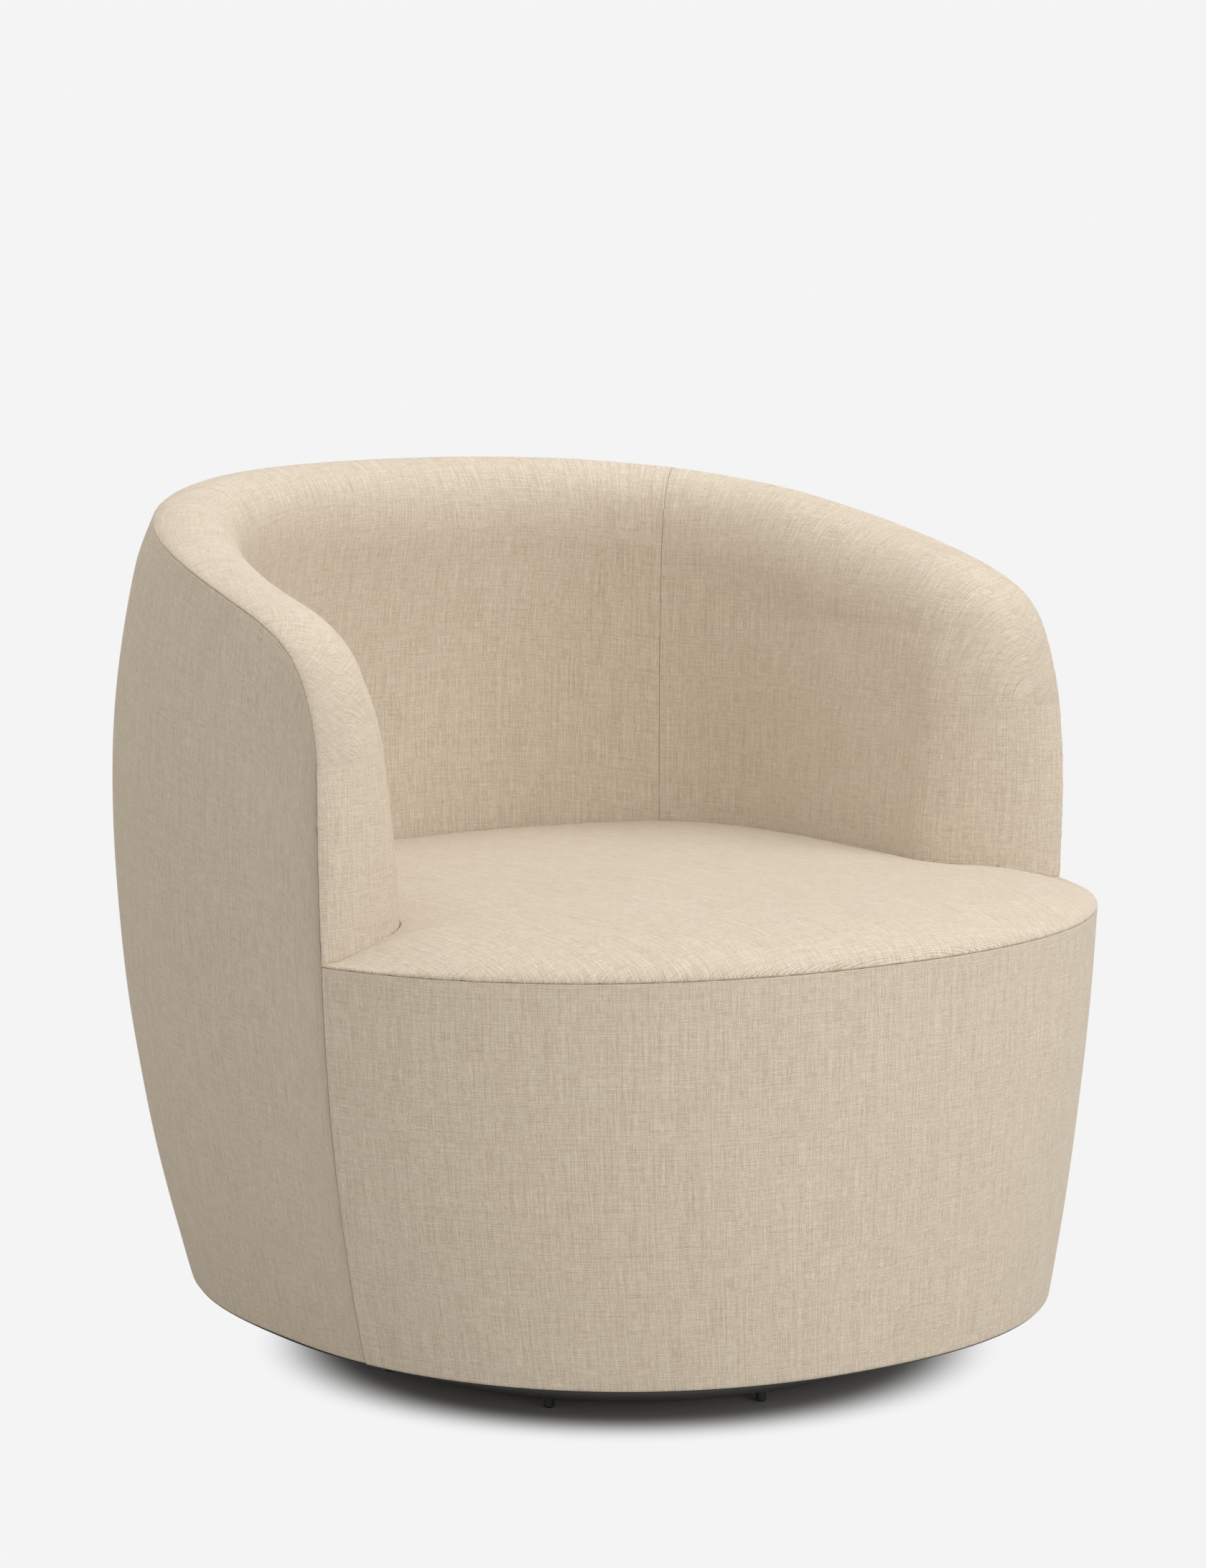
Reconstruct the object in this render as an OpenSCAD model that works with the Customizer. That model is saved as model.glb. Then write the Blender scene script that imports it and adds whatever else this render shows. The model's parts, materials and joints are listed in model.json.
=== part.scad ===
// Swivel barrel chair. Millimetres, +Z up, sitter faces -Y.
// The origin is on the floor, on the swivel axis.

/* [Outer form] */
// Height of the lower edge of the upholstery
hem_h = 56; // [45:1:80]
// Height where the body is widest
widest_h = 499; // [440:1:560]
// Height of the seam round the seat
seat_seam_h = 401; // [370:1:430]
// Height of the outer seam at the middle of the back
back_seam_h = 769; // [700:1:840]
// Half width of the body at its widest height
half_width = 420; // [380:1:460]
// Half width at the lower edge
hem_half_width = 364; // [330:1:400]
// Half width at the height of the back seam
top_half_width = 386; // [350:1:420]
// Reach of the seat front from the swivel axis
front_reach = 390; // [350:1:430]
// Reach of the front at the lower edge
hem_front_reach = 373; // [340:1:410]
// Reach of the back from the swivel axis
back_reach = 470; // [420:1:520]
// Reach of the back at the lower edge
hem_back_reach = 389; // [350:1:430]
// Reach of the back at the back seam
top_back_reach = 416; // [380:1:460]
// Squareness of the front half of the plan
front_square = 2.22; // [2:0.01:3]
// Squareness of the rear half of the plan
back_square = 2.47; // [2:0.01:3]
// Added squareness of the inner faces
inner_square_gain = 0.33; // [0:0.01:0.8]

/* [Arms and rim] */
// Reach of the arm front seam from the swivel axis
arm_reach = 128; // [100:1:160]
// Reach of the front corner seam at the lower edge
hem_arm_reach = 118; // [100:1:150]
// Length of the rounded upper arm corner
corner_run = 126; // [90:1:160]
// Height of the rounded upper arm corner
corner_drop = 124; // [90:1:160]
// Squareness of the rounded upper arm corner
corner_square = 1.92; // [1.6:0.01:2.6]
// Length over which the rim slopes down
slope_run = 550; // [450:1:650]
// Fall of the rim over that length
slope_fall = 118; // [60:1:160]
// Upward bow of the sloping rim
slope_bow = 13; // [0:1:30]
// Thickness of the padded arms and back
wall = 103; // [80:1:130]
// Rise of the rim above the outer seam
rim_rise = 17; // [8:1:30]
// Distance from the outer seam in to the top of the rim
rim_inset = 25; // [15:1:45]
// Depth over which the rim rounds into the inner face
rim_depth = 95; // [60:1:120]
// Turn of the seams between arms and back, in the plan
pad_seam_turn = 45.5; // [35:0.5:60]
// Half of the gap between neighbouring pads at a seam
pad_seam_gap = 0.3; // [0.2:0.1:0.6]

/* [Seat] */
// Rise of the seat crown above the seat seam
crown_rise = 31; // [15:1:50]
// Rise of the seat edge beside arms and back above the seat seam
tuck_rise = 10; // [2:1:20]
// Distance of the highest point of the seat in front of the axis
crown_reach = 200; // [160:1:240]
// Distance of the seat foam top below the seat seam
foam_drop = 7; // [5:1:15]
// Gap between the seat cushion and the pads around it
seat_gap = 0.6; // [0.3:0.1:2]
// Thickness of the felt on the webbing
felt_t = 4; // [2:0.5:8]
// Width of a webbing strap
strap_w = 50; // [40:1:70]
// Thickness of a webbing strap
strap_t = 1.2; // [1:0.1:3]
// Distance between straps running front to back
strap_pitch = 84; // [70:1:110]
// Distance between straps running across
cross_pitch = 92; // [70:1:120]
// Distance of the middle cross strap behind the axis
cross_shift = 28; // [0:1:40]
// Distance of the front strap ends inside the outer form
strap_front_inset = 41; // [30:1:60]
// Distance of the other strap ends inside the outer form
strap_inset = 57; // [40:1:75]

/* [Covers] */
// Thickness of the cover on arms, back and seat
cover_t = 2; // [1.5:0.1:3]
// Thickness of the outer cover with its lining
outer_t = 5; // [3:0.5:8]
// Thickness of the front cover
front_t = 3; // [2:0.5:6]
// Thickness of the foam sheet behind the front cover
front_foam_t = 5; // [3:0.5:10]
// Width of the cover turned under the bottom board
hem_turn_w = 24; // [15:1:40]
// Thickness of the cover turned under
hem_turn_t = 1.8; // [1:0.1:3]
// Small gap between soft layers
layer_gap = 0.3; // [0.2:0.1:0.6]
// Gap of the foam inside the cover at the arm fronts
nose_slack = 3.5; // [2:0.5:6]
// Gap between the seat and the cover of the arm fronts
foot_gap = 1; // [0.5:0.1:2]
// Gap between the seat and the foam of the arm fronts
foam_foot_gap = 6; // [4:0.5:10]
// Gap between the timber frame and the foam round it
foam_slack = 1; // [0.5:0.1:2]
// Gap between the top rail and the foam over it
rail_slack = 3.5; // [2:0.5:6]
// Drop of the inner edge of the outer cover at its seam
outer_bevel = 1.7; // [1:0.1:3]

/* [Timber frame] */
// Thickness of the bottom board and the seat ring
board_t = 18; // [12:1:24]
// Clearance of boards and top rail inside the outer form
frame_inset = 10; // [8:1:16]
// Clearance of the ribs inside the outer form
rib_inset = 13; // [11:1:18]
// Distance of the underside of the seat ring below the seat seam
ring_drop = 69; // [60:1:90]
// Width of the seat ring
ring_w = 82; // [70:1:100]
// Thickness of a rib
rib_t = 18; // [12:1:24]
// Width of the lower ribs
low_rib_w = 48; // [30:1:70]
// Width of the upper ribs
rib_w = 33; // [25:1:45]
// Gap between the upper ribs and the underside of the top rail
rib_top_gap = 2.5; // [1.5:0.1:4]
// Distance of the top rail top below the outer seam
rail_top_drop = 21; // [15:1:40]
// Distance of the top rail underside below the outer seam
rail_low_drop = 62; // [50:1:90]
// Thickness of the top rail
rail_t = 20; // [14:1:26]
// Distance of the top rail front end ahead of the axis
rail_front_reach = 89; // [70:1:110]
// Diameter of a frame screw shank
screw_d = 4.5; // [3.5:0.1:6]
// Diameter of a frame screw head
screw_head_d = 9; // [7:0.5:12]
// Height of a countersunk frame screw head
screw_head_h = 2.6; // [2:0.1:4]
// Length of a frame screw
screw_len = 45; // [30:1:70]
// Clearance round a frame screw
screw_gap = 0.1; // [0.05:0.05:0.3]
// Distance of the screws inside the outer form
screw_inset = 30; // [24:1:40]

/* [Dust cover] */
// Thickness of the dust cover
dust_t = 1.5; // [1:0.1:3]
// Distance of the dust cover edge inside the hem
dust_inset = 3; // [1:0.5:8]
// Gap between the dust cover and the turned cover
dust_gap = 0.15; // [0.1:0.05:0.5]
// Width of the opening for the swivel plate
dust_hole_w = 206; // [204:1:240]
// Diameter of a tack head
tack_head_d = 8; // [6:0.5:12]
// Diameter of the flat on a tack head
tack_flat_d = 5; // [3:0.5:8]
// Height of a tack head
tack_head_h = 1; // [0.6:0.1:2]
// Diameter of a tack shank
tack_d = 1.6; // [1:0.1:2.5]
// Length of a tack shank
tack_len = 12; // [8:1:20]
// Distance of the tacks inside the hem
tack_inset = 36; // [30:1:60]
// Number of tacks
tacks = 28; // [12:2:40]

/* [Swivel base] */
// Radius of the round base
base_r = 258; // [220:1:290]
// Radius of the rounded base edge
base_edge_r = 8; // [6:0.5:12]
// Height of the underside of the base
base_lift = 11.5; // [8:0.5:20]
// Thickness of the base sheet
base_t = 3; // [2:0.5:5]
// Width of the flat lip under the base
base_lip_w = 34; // [25:1:50]
// Number of floor glides
glides = 8; // [6:1:10]
// Distance of the glides from the axis
glide_reach = 239; // [220:1:250]
// Turn of the first glide
glide_turn = -7; // [-22:1:22]
// Diameter of a floor glide
glide_d = 9; // [7:0.5:16]
// Rounding of the foot of a glide
glide_round = 1.8; // [1:0.1:3]
// Diameter of a glide stem
glide_stem_d = 5; // [4:0.5:8]
// Diameter of the snap head of a glide stem
glide_snap_d = 7; // [6:0.5:10]
// Height of the snap head of a glide stem
glide_snap_h = 2; // [1:0.5:4]
// Clearance round a glide stem
glide_gap = 0.1; // [0.05:0.05:0.3]

/* [Bearing] */
// Inner radius of the bearing races
race_in_r = 76; // [60:1:90]
// Outer radius of the bearing races
race_out_r = 97; // [85:1:105]
// Height of one bearing race
race_t = 11; // [8:0.5:16]
// Diameter of a bearing ball
ball_d = 10; // [6:0.5:14]
// Number of bearing balls
balls = 24; // [12:1:36]
// Gap between the two races
race_gap = 3.5; // [2.5:0.1:5]
// Clearance of the balls in the grooves
ball_gap = 0.05; // [0.02:0.01:0.1]
// Thickness of the ball cage
cage_t = 1.5; // [1:0.1:2]
// Inner radius of the ball cage
cage_in_r = 79; // [70:1:85]
// Outer radius of the ball cage
cage_out_r = 95; // [90:1:102]
// Clearance of a ball in the cage
cage_gap = 0.1; // [0.05:0.05:0.3]
// Width of the square swivel plate
plate_w = 200; // [180:1:240]
// Thickness of the swivel plate
plate_t = 5; // [4:0.5:8]
// Corner rounding of the swivel plate
plate_corner_r = 18; // [8:1:30]
// Distance of the plate bolts from the axis along each side
bolt_reach = 82; // [70:1:95]
// Diameter of a plate bolt
bolt_d = 8; // [6:0.5:10]
// Width across the flats of plate bolt heads and nuts
bolt_flats = 13; // [10:0.5:17]
// Height of a plate bolt head
bolt_head_h = 5.3; // [4:0.1:7]
// Height of a plate nut
bolt_nut_h = 6.5; // [5:0.1:9]
// Length of a plate bolt shank
bolt_len = 36; // [30:1:50]
// Diameter of a plate washer
washer_d = 22; // [16:1:30]
// Thickness of a plate washer
washer_t = 1.6; // [1:0.1:3]
// Clearance round a plate bolt
bolt_gap = 0.25; // [0.1:0.05:0.5]

/* [Centre pin] */
// Diameter of the centre pin
pin_d = 20; // [16:1:26]
// Diameter of the pin flange
pin_flange_d = 64; // [50:1:80]
// Thickness of the pin flange
pin_flange_t = 5; // [3:0.5:8]
// Diameter of the threaded stub of the pin
stub_d = 14; // [10:1:18]
// Length of the threaded stub of the pin
stub_len = 17; // [12:1:24]
// Outer diameter of the bush
bush_d = 26; // [24:1:34]
// Diameter of the bush flange
bush_flange_d = 36; // [30:1:44]
// Thickness of the bush flange
bush_flange_t = 3; // [2:0.5:5]
// Rise of the bush above the swivel plate
bush_rise = 2; // [1:0.5:4]
// Radial clearance of the pin in the bush
pin_gap = 0.05; // [0.02:0.01:0.1]
// Lift play between the bush and the pin washer
lift_gap = 0.4; // [0.2:0.1:1]
// Diameter of the pin washer
pin_washer_d = 36; // [30:1:44]
// Thickness of the pin washer
pin_washer_t = 3; // [2:0.5:5]
// Width across the flats of the pin nut
pin_nut_flats = 22; // [18:1:27]
// Height of the pin nut
pin_nut_h = 11; // [8:1:16]
// Radial clearance of washer and nut on the stub
stub_gap = 0.05; // [0.02:0.01:0.2]
// Diameter of the hole in the bottom board over the pin
board_hole_d = 70; // [56:1:90]
// Diameter of a rivet shank
rivet_d = 5; // [4:0.5:8]
// Diameter of a rivet head
rivet_head_d = 9; // [7:0.5:14]
// Diameter of the flat on a rivet head
rivet_flat_d = 5.5; // [5:0.5:9]
// Height of a rivet head
rivet_head_h = 2; // [1.5:0.5:4]
// Distance of the pin rivets from the axis
pin_rivet_reach = 23; // [18:1:28]
// Number of rivets in the pin flange
pin_rivets_n = 4; // [3:1:6]
// Number of rivets under the lower race
race_rivets_n = 8; // [4:1:12]
// Depth of the race rivets in the lower race
race_rivet_depth = 6; // [4:0.5:8]

/* [Hidden] */
$fn = 48;
near = 0.01;
full_turn = 360;
half_turn = full_turn / 2;
quarter_turn = full_turn / 4;
crown_h = seat_seam_h + crown_rise;
tuck_h = seat_seam_h + tuck_rise;
foam_top_h = seat_seam_h - foam_drop;
ring_h = seat_seam_h - ring_drop;
base_top = base_lift + 2 * base_edge_r;
lower_race_top = base_top + race_t;
ball_z = lower_race_top + race_gap / 2;
upper_race_low = lower_race_top + race_gap;
plate_low = upper_race_low + race_t;
plate_top = plate_low + plate_t;
board_low = plate_top;
board_top = board_low + board_t;
ring_top = ring_h + board_t;
strap_top = ring_top + 2 * strap_t;
pad_foot = strap_top + layer_gap;
felt_low = strap_top;
foam_low = felt_low + felt_t;
race_r = (race_in_r + race_out_r) / 2;
shoulder_z = plate_top + bush_rise + lift_gap;
corner_y = corner_run - arm_reach;
rim_top = back_seam_h + rim_rise;
pad_frame_inset = rib_inset + rib_w + foam_slack;
seam_gap_turn = pad_seam_gap / half_width * half_turn / PI;
dust_low = hem_h - dust_gap - dust_t;

// Outer form: sizes at a height
function swell(z, mid, low, high) = z < widest_h
    ? mid - (mid - low) * pow((widest_h - z) / (widest_h - hem_h), 2)
    : mid - (mid - high) * pow((z - widest_h) / (back_seam_h - widest_h), 2);
function half_at(z) = swell(z, half_width, hem_half_width, top_half_width);
function front_at(z) = swell(z, front_reach, hem_front_reach, front_reach);
function back_at(z) = swell(z, back_reach, hem_back_reach, top_back_reach);

// Point of the form at a plan turn, a height and an inset
function shell(t, z, e) = let(
    rear = sin(t) >= 0,
    n = (rear ? back_square : front_square) + inner_square_gain * e / wall,
    c = pow(abs(cos(t)), 2 / n),
    s = pow(abs(sin(t)), 2 / n),
    r = (rear ? back_at(z) : front_at(z)) - e)
    [(cos(t) < 0 ? -1 : 1) * (half_at(z) - e) * c, (rear ? 1 : -1) * r * s, z];
function turn_of(y) = y < 0
    ? -asin(pow(min(1, -y / front_reach), front_square / 2))
    : asin(pow(min(1, y / back_reach), back_square / 2));

// Rim: height of the outer seam and of the rim edge over a plan point
function slope_h(y) = let(s = (top_back_reach - y) / slope_run)
    back_seam_h - slope_fall * s + 4 * slope_bow * s * (1 - s);
corner_z = slope_h(corner_y) - corner_drop;
function raised(y, g) = y < corner_y
    ? corner_z + (corner_drop + g) * pow(max(0, 1 - pow((corner_y - y) / (corner_run + g),
        corner_square)), 1 / corner_square)
    : slope_h(y) + g;
function seam_over(t, g) = let(
    a = raised(shell(t, back_seam_h, 0).y, g),
    b = raised(shell(t, a, 0).y, g))
    raised(shell(t, b, 0).y, g);
function depth(t, z) = let(y = shell(t, t < 0 ? widest_h : z, 0).y, run = corner_run + rim_rise)
    y >= corner_y ? raised(y, rim_rise) - z
    : z <= corner_z ? y + arm_reach + rim_rise
    : run * (1 - pow(pow((corner_y - y) / run, corner_square)
        + pow((z - corner_z) / (corner_drop + rim_rise), corner_square), 1 / corner_square));
function round_share(x) = sqrt(max(0, 1 - pow(1 - min(1, max(0, x)), 2)));
function inner_inset(d, g) = rim_inset
    + (wall - rim_inset - g) * round_share((d - g) / (rim_depth - g));
function outer_inset(d, g) = rim_inset
    - (rim_inset - g) * round_share((d - g) / (rim_rise - g));

// Seat crown: height above the shoulder beside the arms
function shoulder_h(e) = seat_seam_h
    + (crown_h - seat_seam_h) * sqrt(1 - pow(1 - e / half_width, 4));

// Plan columns of one arm, front to back
front_steps = 6;
nose_steps = 3;
side_steps = 5;
side_crowding = 1.3;
function arm_y(i) = -(arm_reach + rim_rise)
    + (arm_reach + rim_rise + corner_y) * (1 - cos(quarter_turn * i / front_steps));
function side_turn(i) = turn_of(corner_y)
    + (pad_seam_turn - turn_of(corner_y)) * pow(i / side_steps, side_crowding);
function front_turn(y, g) = turn_of(y + g * max(0, (corner_y - y) / (corner_run + rim_rise)));
function arm_turns(g) = concat(
    [for (i = [0:nose_steps - 2]) front_turn(arm_y(i), g)],
    [turn_of(-arm_reach - seat_gap), turn_of(-arm_reach + seat_gap)],
    [for (i = [nose_steps:front_steps - 1]) front_turn(arm_y(i), g)],
    [for (i = [0:side_steps]) side_turn(i) - (i == side_steps ? seam_gap_turn : 0)]);
back_steps = 10;
function back_turns() = [for (i = [0:back_steps]) let(a = pad_seam_turn + seam_gap_turn)
    a + (half_turn - 2 * a) * i / back_steps];

// Rows over the rim: from the foot up the inner face, over the rim, down to the seam
face_rows = 3;
round_rows = 5;
drop_rows = 4;
fill_rows = face_rows + round_rows;
nose_rows = 2;
rim_rows = fill_rows + drop_rows;
nose_low = corner_z - rim_rise;
function is_nose(t) = shell(t, corner_z, 0).y < -arm_reach;
function foot_z(t, e, g) = is_nose(t) ? shoulder_h(e) + (g > 0 ? foam_foot_gap : foot_gap) : pad_foot;
function face_z(t, j, g) = let(top = seam_over(t, rim_rise) - g,
    round_low = top - (rim_depth - g),
    foot = foot_z(t, wall / 2, g),
    step_z = is_nose(t) ? foot + (round_low - foot) / face_rows : tuck_h)
    j == 0 ? foot
    : j < face_rows ? step_z + (round_low - step_z) * (j - 1) / (face_rows - 1)
    : round_low + (top - round_low) * sin(quarter_turn * (j - face_rows) / round_rows);
function drop_z(t, j, g) = let(top = seam_over(t, rim_rise) - g,
    low = is_nose(t) ? foot_z(t, 0, g) : seam_over(t, 0))
    !is_nose(t) ? top - (top - low) * (1 - cos(quarter_turn * j / drop_rows))
    : j <= nose_rows ? top - (top - nose_low) * (1 - cos(quarter_turn * j / nose_rows))
    : nose_low - (nose_low - low) * (j - nose_rows) / (drop_rows - nose_rows);
function rim_point(t, j, g) = j < fill_rows
    ? let(z = face_z(t, j, g), e = max(inner_inset(depth(t, z), g), rim_inset + layer_gap))
        shell(t, j == 0 ? foot_z(t, e, g) : z, e)
    : j == fill_rows ? shell(t, face_z(t, j, g), rim_inset)
    : let(z = drop_z(t, j - fill_rows, g),
        e = min(outer_inset(depth(t, z), g), rim_inset - layer_gap))
        shell(t, j == rim_rows && is_nose(t) ? foot_z(t, e, g) : z, e);

// Frame side of the pad foam, row for row with its face
function is_solid(t) = shell(t, corner_z, 0).y < -rail_front_reach - rib_t;
function hug_point(t, j, g) = let(
    seam = seam_over(t, 0),
    top = seam_over(t, rim_rise) - g,
    rail_z = seam - rail_top_drop,
    rail_h = rail_low_drop - rail_top_drop,
    lean = norm(shell(t, rail_z, 0) - shell(t, rail_z - rail_h, 0) - [0, 0, rail_h]),
    deep = is_solid(t) ? outer_t + nose_slack
        : max(pad_frame_inset, frame_inset + rail_t + lean + foam_slack),
    low = rail_z + rail_slack,
    k = j - face_rows)
    is_nose(t)
    ? let(foot = foot_z(t, 0, g),
        z = k <= 0 ? foot + (nose_low - foot) * j / face_rows
            : nose_low + (top - nose_low) * sin(quarter_turn * k / round_rows),
        e = min(outer_inset(depth(t, z), g) + nose_slack, rim_inset - 2 * layer_gap))
        shell(t, j == 0 ? foot_z(t, e, g) : z, e)
    : k <= 0 ? shell(t, pad_foot + (low - pad_foot) * j / face_rows, deep)
    : k == 1 ? shell(t, low + layer_gap, outer_t + 4 * layer_gap)
    : k == 2 ? shell(t, low + 4 * layer_gap, outer_t + layer_gap)
    : k == 3 ? shell(t, seam - layer_gap, outer_t + layer_gap)
    : let(z = seam + (top - seam) * (k - 3) / (round_rows - 3))
        shell(t, z, min(outer_inset(depth(t, z), g), rim_inset - 2 * layer_gap));

// Solid between two grids of points
module sheet(a, b) {
    cols = len(a);
    rows = len(a[0]);
    pts = [for (g = [a, b]) for (col = g) for (p = col) p];
    half = cols * rows;
    function id(g, i, j) = g * half + i * rows + j;
    function quad(p, q, r, s) = [[p, q, r], [p, r, s]];
    faces = concat(
        [for (i = [0:cols - 2]) for (j = [0:rows - 2]) for (f = quad(id(0, i, j), id(0, i + 1, j),
            id(0, i + 1, j + 1), id(0, i, j + 1))) f],
        [for (i = [0:cols - 2]) for (j = [0:rows - 2]) for (f = quad(id(1, i, j), id(1, i, j + 1),
            id(1, i + 1, j + 1), id(1, i + 1, j))) f],
        [for (i = [0:cols - 2]) for (f = quad(id(0, i, 0), id(1, i, 0),
            id(1, i + 1, 0), id(0, i + 1, 0))) f],
        [for (i = [0:cols - 2]) for (f = quad(id(0, i, rows - 1), id(0, i + 1, rows - 1),
            id(1, i + 1, rows - 1), id(1, i, rows - 1))) f],
        [for (j = [0:rows - 2]) for (f = quad(id(0, 0, j), id(0, 0, j + 1),
            id(1, 0, j + 1), id(1, 0, j))) f],
        [for (j = [0:rows - 2]) for (f = quad(id(0, cols - 1, j), id(1, cols - 1, j),
            id(1, cols - 1, j + 1), id(0, cols - 1, j + 1))) f]);
    polyhedron(points = pts, faces = faces, convexity = 6);
}

function rim_grid(turns, g) = [for (t = turns) [for (j = [0:rim_rows]) rim_point(t, j, g)]];

module pad_cover(outer_turns, inner_turns) {
    sheet(rim_grid(outer_turns, 0), rim_grid(inner_turns, cover_t));
}

module pad_foam(turns, g) {
    sheet([for (t = turns) [for (j = [0:fill_rows]) rim_point(t, j, g)]],
        [for (t = turns) [for (j = [0:fill_rows]) hug_point(t, j, g)]]);
}

// Outer wrap
outer_rows = 8;
wrap_steps = 5;
function reach_at(z) = hem_arm_reach
    + (arm_reach - hem_arm_reach) * min(1, (z - hem_h) / (seat_seam_h - hem_h));
function outer_turns_at(z) = let(
    first = turn_of(-reach_at(z) + seat_gap),
    stretch = (1 + first / turn_of(-arm_reach)) / 2,
    right = concat([first],
        [for (i = [nose_steps:front_steps - 1]) turn_of(arm_y(i)) * (i == nose_steps ? stretch : 1)],
        [for (i = [0:side_steps]) side_turn(i)]))
    concat(right,
        [for (i = [1:wrap_steps]) pad_seam_turn + (quarter_turn - pad_seam_turn) * i / wrap_steps],
        [for (i = [1:wrap_steps]) quarter_turn + (quarter_turn - pad_seam_turn) * i / wrap_steps],
        [for (i = [1:len(right) - 1]) half_turn - right[len(right) - 1 - i]]);
top_turns = outer_turns_at(corner_z);
function outer_point(i, j, e) = let(
    seam = seam_over(top_turns[i], 0),
    low = hem_h + (e > 0 ? hem_turn_t : 0),
    z = j < outer_rows ? low + (seam - rail_top_drop - low) * j / (outer_rows - 1)
        : seam - (e > 0 ? outer_bevel : 0))
    shell(outer_turns_at(z)[i], z, e);
function hem_point(i, z) = shell(outer_turns_at(hem_h)[i], z, hem_turn_w);

// Front border
front_cols = 16;
front_rows = 5;
function border_turn(z, i) = let(first = turn_of(-reach_at(z) - seat_gap))
    first - (half_turn + 2 * first) * i / front_cols;
function border_point(i, z, e) = shell(border_turn(z, i), z, e);

// Plan of the seat: front between the seams, then round the shoulders and along the inner faces
function notch_inset(t) = inner_inset(depth(t, nose_low), 0) + seat_gap;
front_half = front_cols / 2;
shoulder_steps = 3;
tuck_steps = front_steps - nose_steps + 1;
first_turn = turn_of(-arm_reach - seat_gap);
notch = notch_inset(turn_of(-arm_reach + seat_gap));
tuck_turns = [for (i = [nose_steps:front_steps - 1]) turn_of(arm_y(i))];
face_turns = concat([for (i = [0:side_steps]) side_turn(i)],
    [for (i = [1:back_steps / 2]) pad_seam_turn
        + (quarter_turn - pad_seam_turn) * i / (back_steps / 2)]);
function seat_half(z, e) = concat(
    [for (i = [0:front_half]) shell(-quarter_turn + (first_turn + quarter_turn) * i / front_half, z, e)],
    [for (k = [1:shoulder_steps]) let(p = shell(first_turn, z, notch + e), q = shell(first_turn, z, e))
        q + (p - q) * k / shoulder_steps],
    [for (t = tuck_turns) shell(t, z, notch_inset(t) + e)],
    [for (t = face_turns) shell(t, z, wall + seat_gap + e)]);
function seat_line(z, e) = let(h = seat_half(z, e), n = len(h))
    concat(h, [for (i = [1:n - 2]) [-h[n - 1 - i].x, h[n - 1 - i].y, z]]);
function edge_h(k, n) = let(
    d = k <= n / 2 ? k : n - k,
    past = d - front_half - shoulder_steps,
    x = min(1, past / tuck_steps))
    d <= front_half ? seat_seam_h
    : past <= 0 ? shoulder_h(notch * (d - front_half) / shoulder_steps)
    : shoulder_h(notch) * (1 - x) + tuck_h * x;
ring_shares = [0.12, 0.4, 0.65, 0.82, 0.92, 0.975, 1];
function crown_point(line, k, share, g, low) = let(
    n = len(line),
    q = [0, -crown_reach, 0],
    p = q + (line[k] - q) * share,
    h = edge_h(k, n) - g,
    top = crown_h - g)
    [p.x, p.y, low > 0 ? low : h + (top - h) * sqrt(1 - pow(share, 4))];

// Closed dome: rings of points from the middle out, over a lower surface with the same rings
module dome(upper, lower) {
    rings = len(upper);
    n = len(upper[0]);
    pts = concat([for (r = upper) for (p = r) p], [for (r = lower) for (p = r) p]);
    half = rings * n;
    function id(g, r, k) = g * half + r * n + (k % n);
    faces = concat(
        [[for (k = [0:n - 1]) id(0, 0, n - 1 - k)]],
        [[for (k = [0:n - 1]) id(1, 0, k)]],
        [for (r = [0:rings - 2]) for (k = [0:n - 1]) for (f = [
            [id(0, r, k), id(0, r, k + 1), id(0, r + 1, k + 1)],
            [id(0, r, k), id(0, r + 1, k + 1), id(0, r + 1, k)]]) f],
        [for (r = [0:rings - 2]) for (k = [0:n - 1]) for (f = [
            [id(1, r, k), id(1, r + 1, k + 1), id(1, r, k + 1)],
            [id(1, r, k), id(1, r + 1, k), id(1, r + 1, k + 1)]]) f],
        [for (k = [0:n - 1]) for (f = [
            [id(0, rings - 1, k), id(0, rings - 1, k + 1), id(1, rings - 1, k + 1)],
            [id(0, rings - 1, k), id(1, rings - 1, k + 1), id(1, rings - 1, k)]]) f]);
    polyhedron(points = pts, faces = faces, convexity = 6);
}

function flat(line) = [for (p = line) [p.x, p.y]];
plan_steps = 72;
function plan(z, e) = [for (i = [0:plan_steps - 1]) flat([shell(full_turn * i / plan_steps, z, e)])[0]];

// Ribs stand in planes through a point of the form, square to its edge
function rib_frame(t, z) = let(p = shell(t, z, 0), q = shell(t, z, low_rib_w), d = p - q)
    [p, atan2(d.y, d.x)];
function rib_x(t, z, e, f) = let(p = shell(t, z, e) - f[0])
    p.x * cos(f[1]) + p.y * sin(f[1]);
rib_steps = 6;
module rib(t, low, high, w) {
    f = rib_frame(t, (low + high) / 2);
    zs = [for (k = [0:rib_steps]) low + (high - low) * k / rib_steps];
    translate([f[0].x, f[0].y, 0])
        rotate([0, 0, f[1]])
            translate([0, rib_t / 2, 0])
                rotate([quarter_turn, 0, 0])
                    linear_extrude(rib_t)
                        polygon(concat([for (z = zs) [rib_x(t, z, rib_inset, f), z]],
                            [for (k = [rib_steps:-1:0]) [rib_x(t, zs[k], rib_inset + w, f), zs[k]]]));
}

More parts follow.
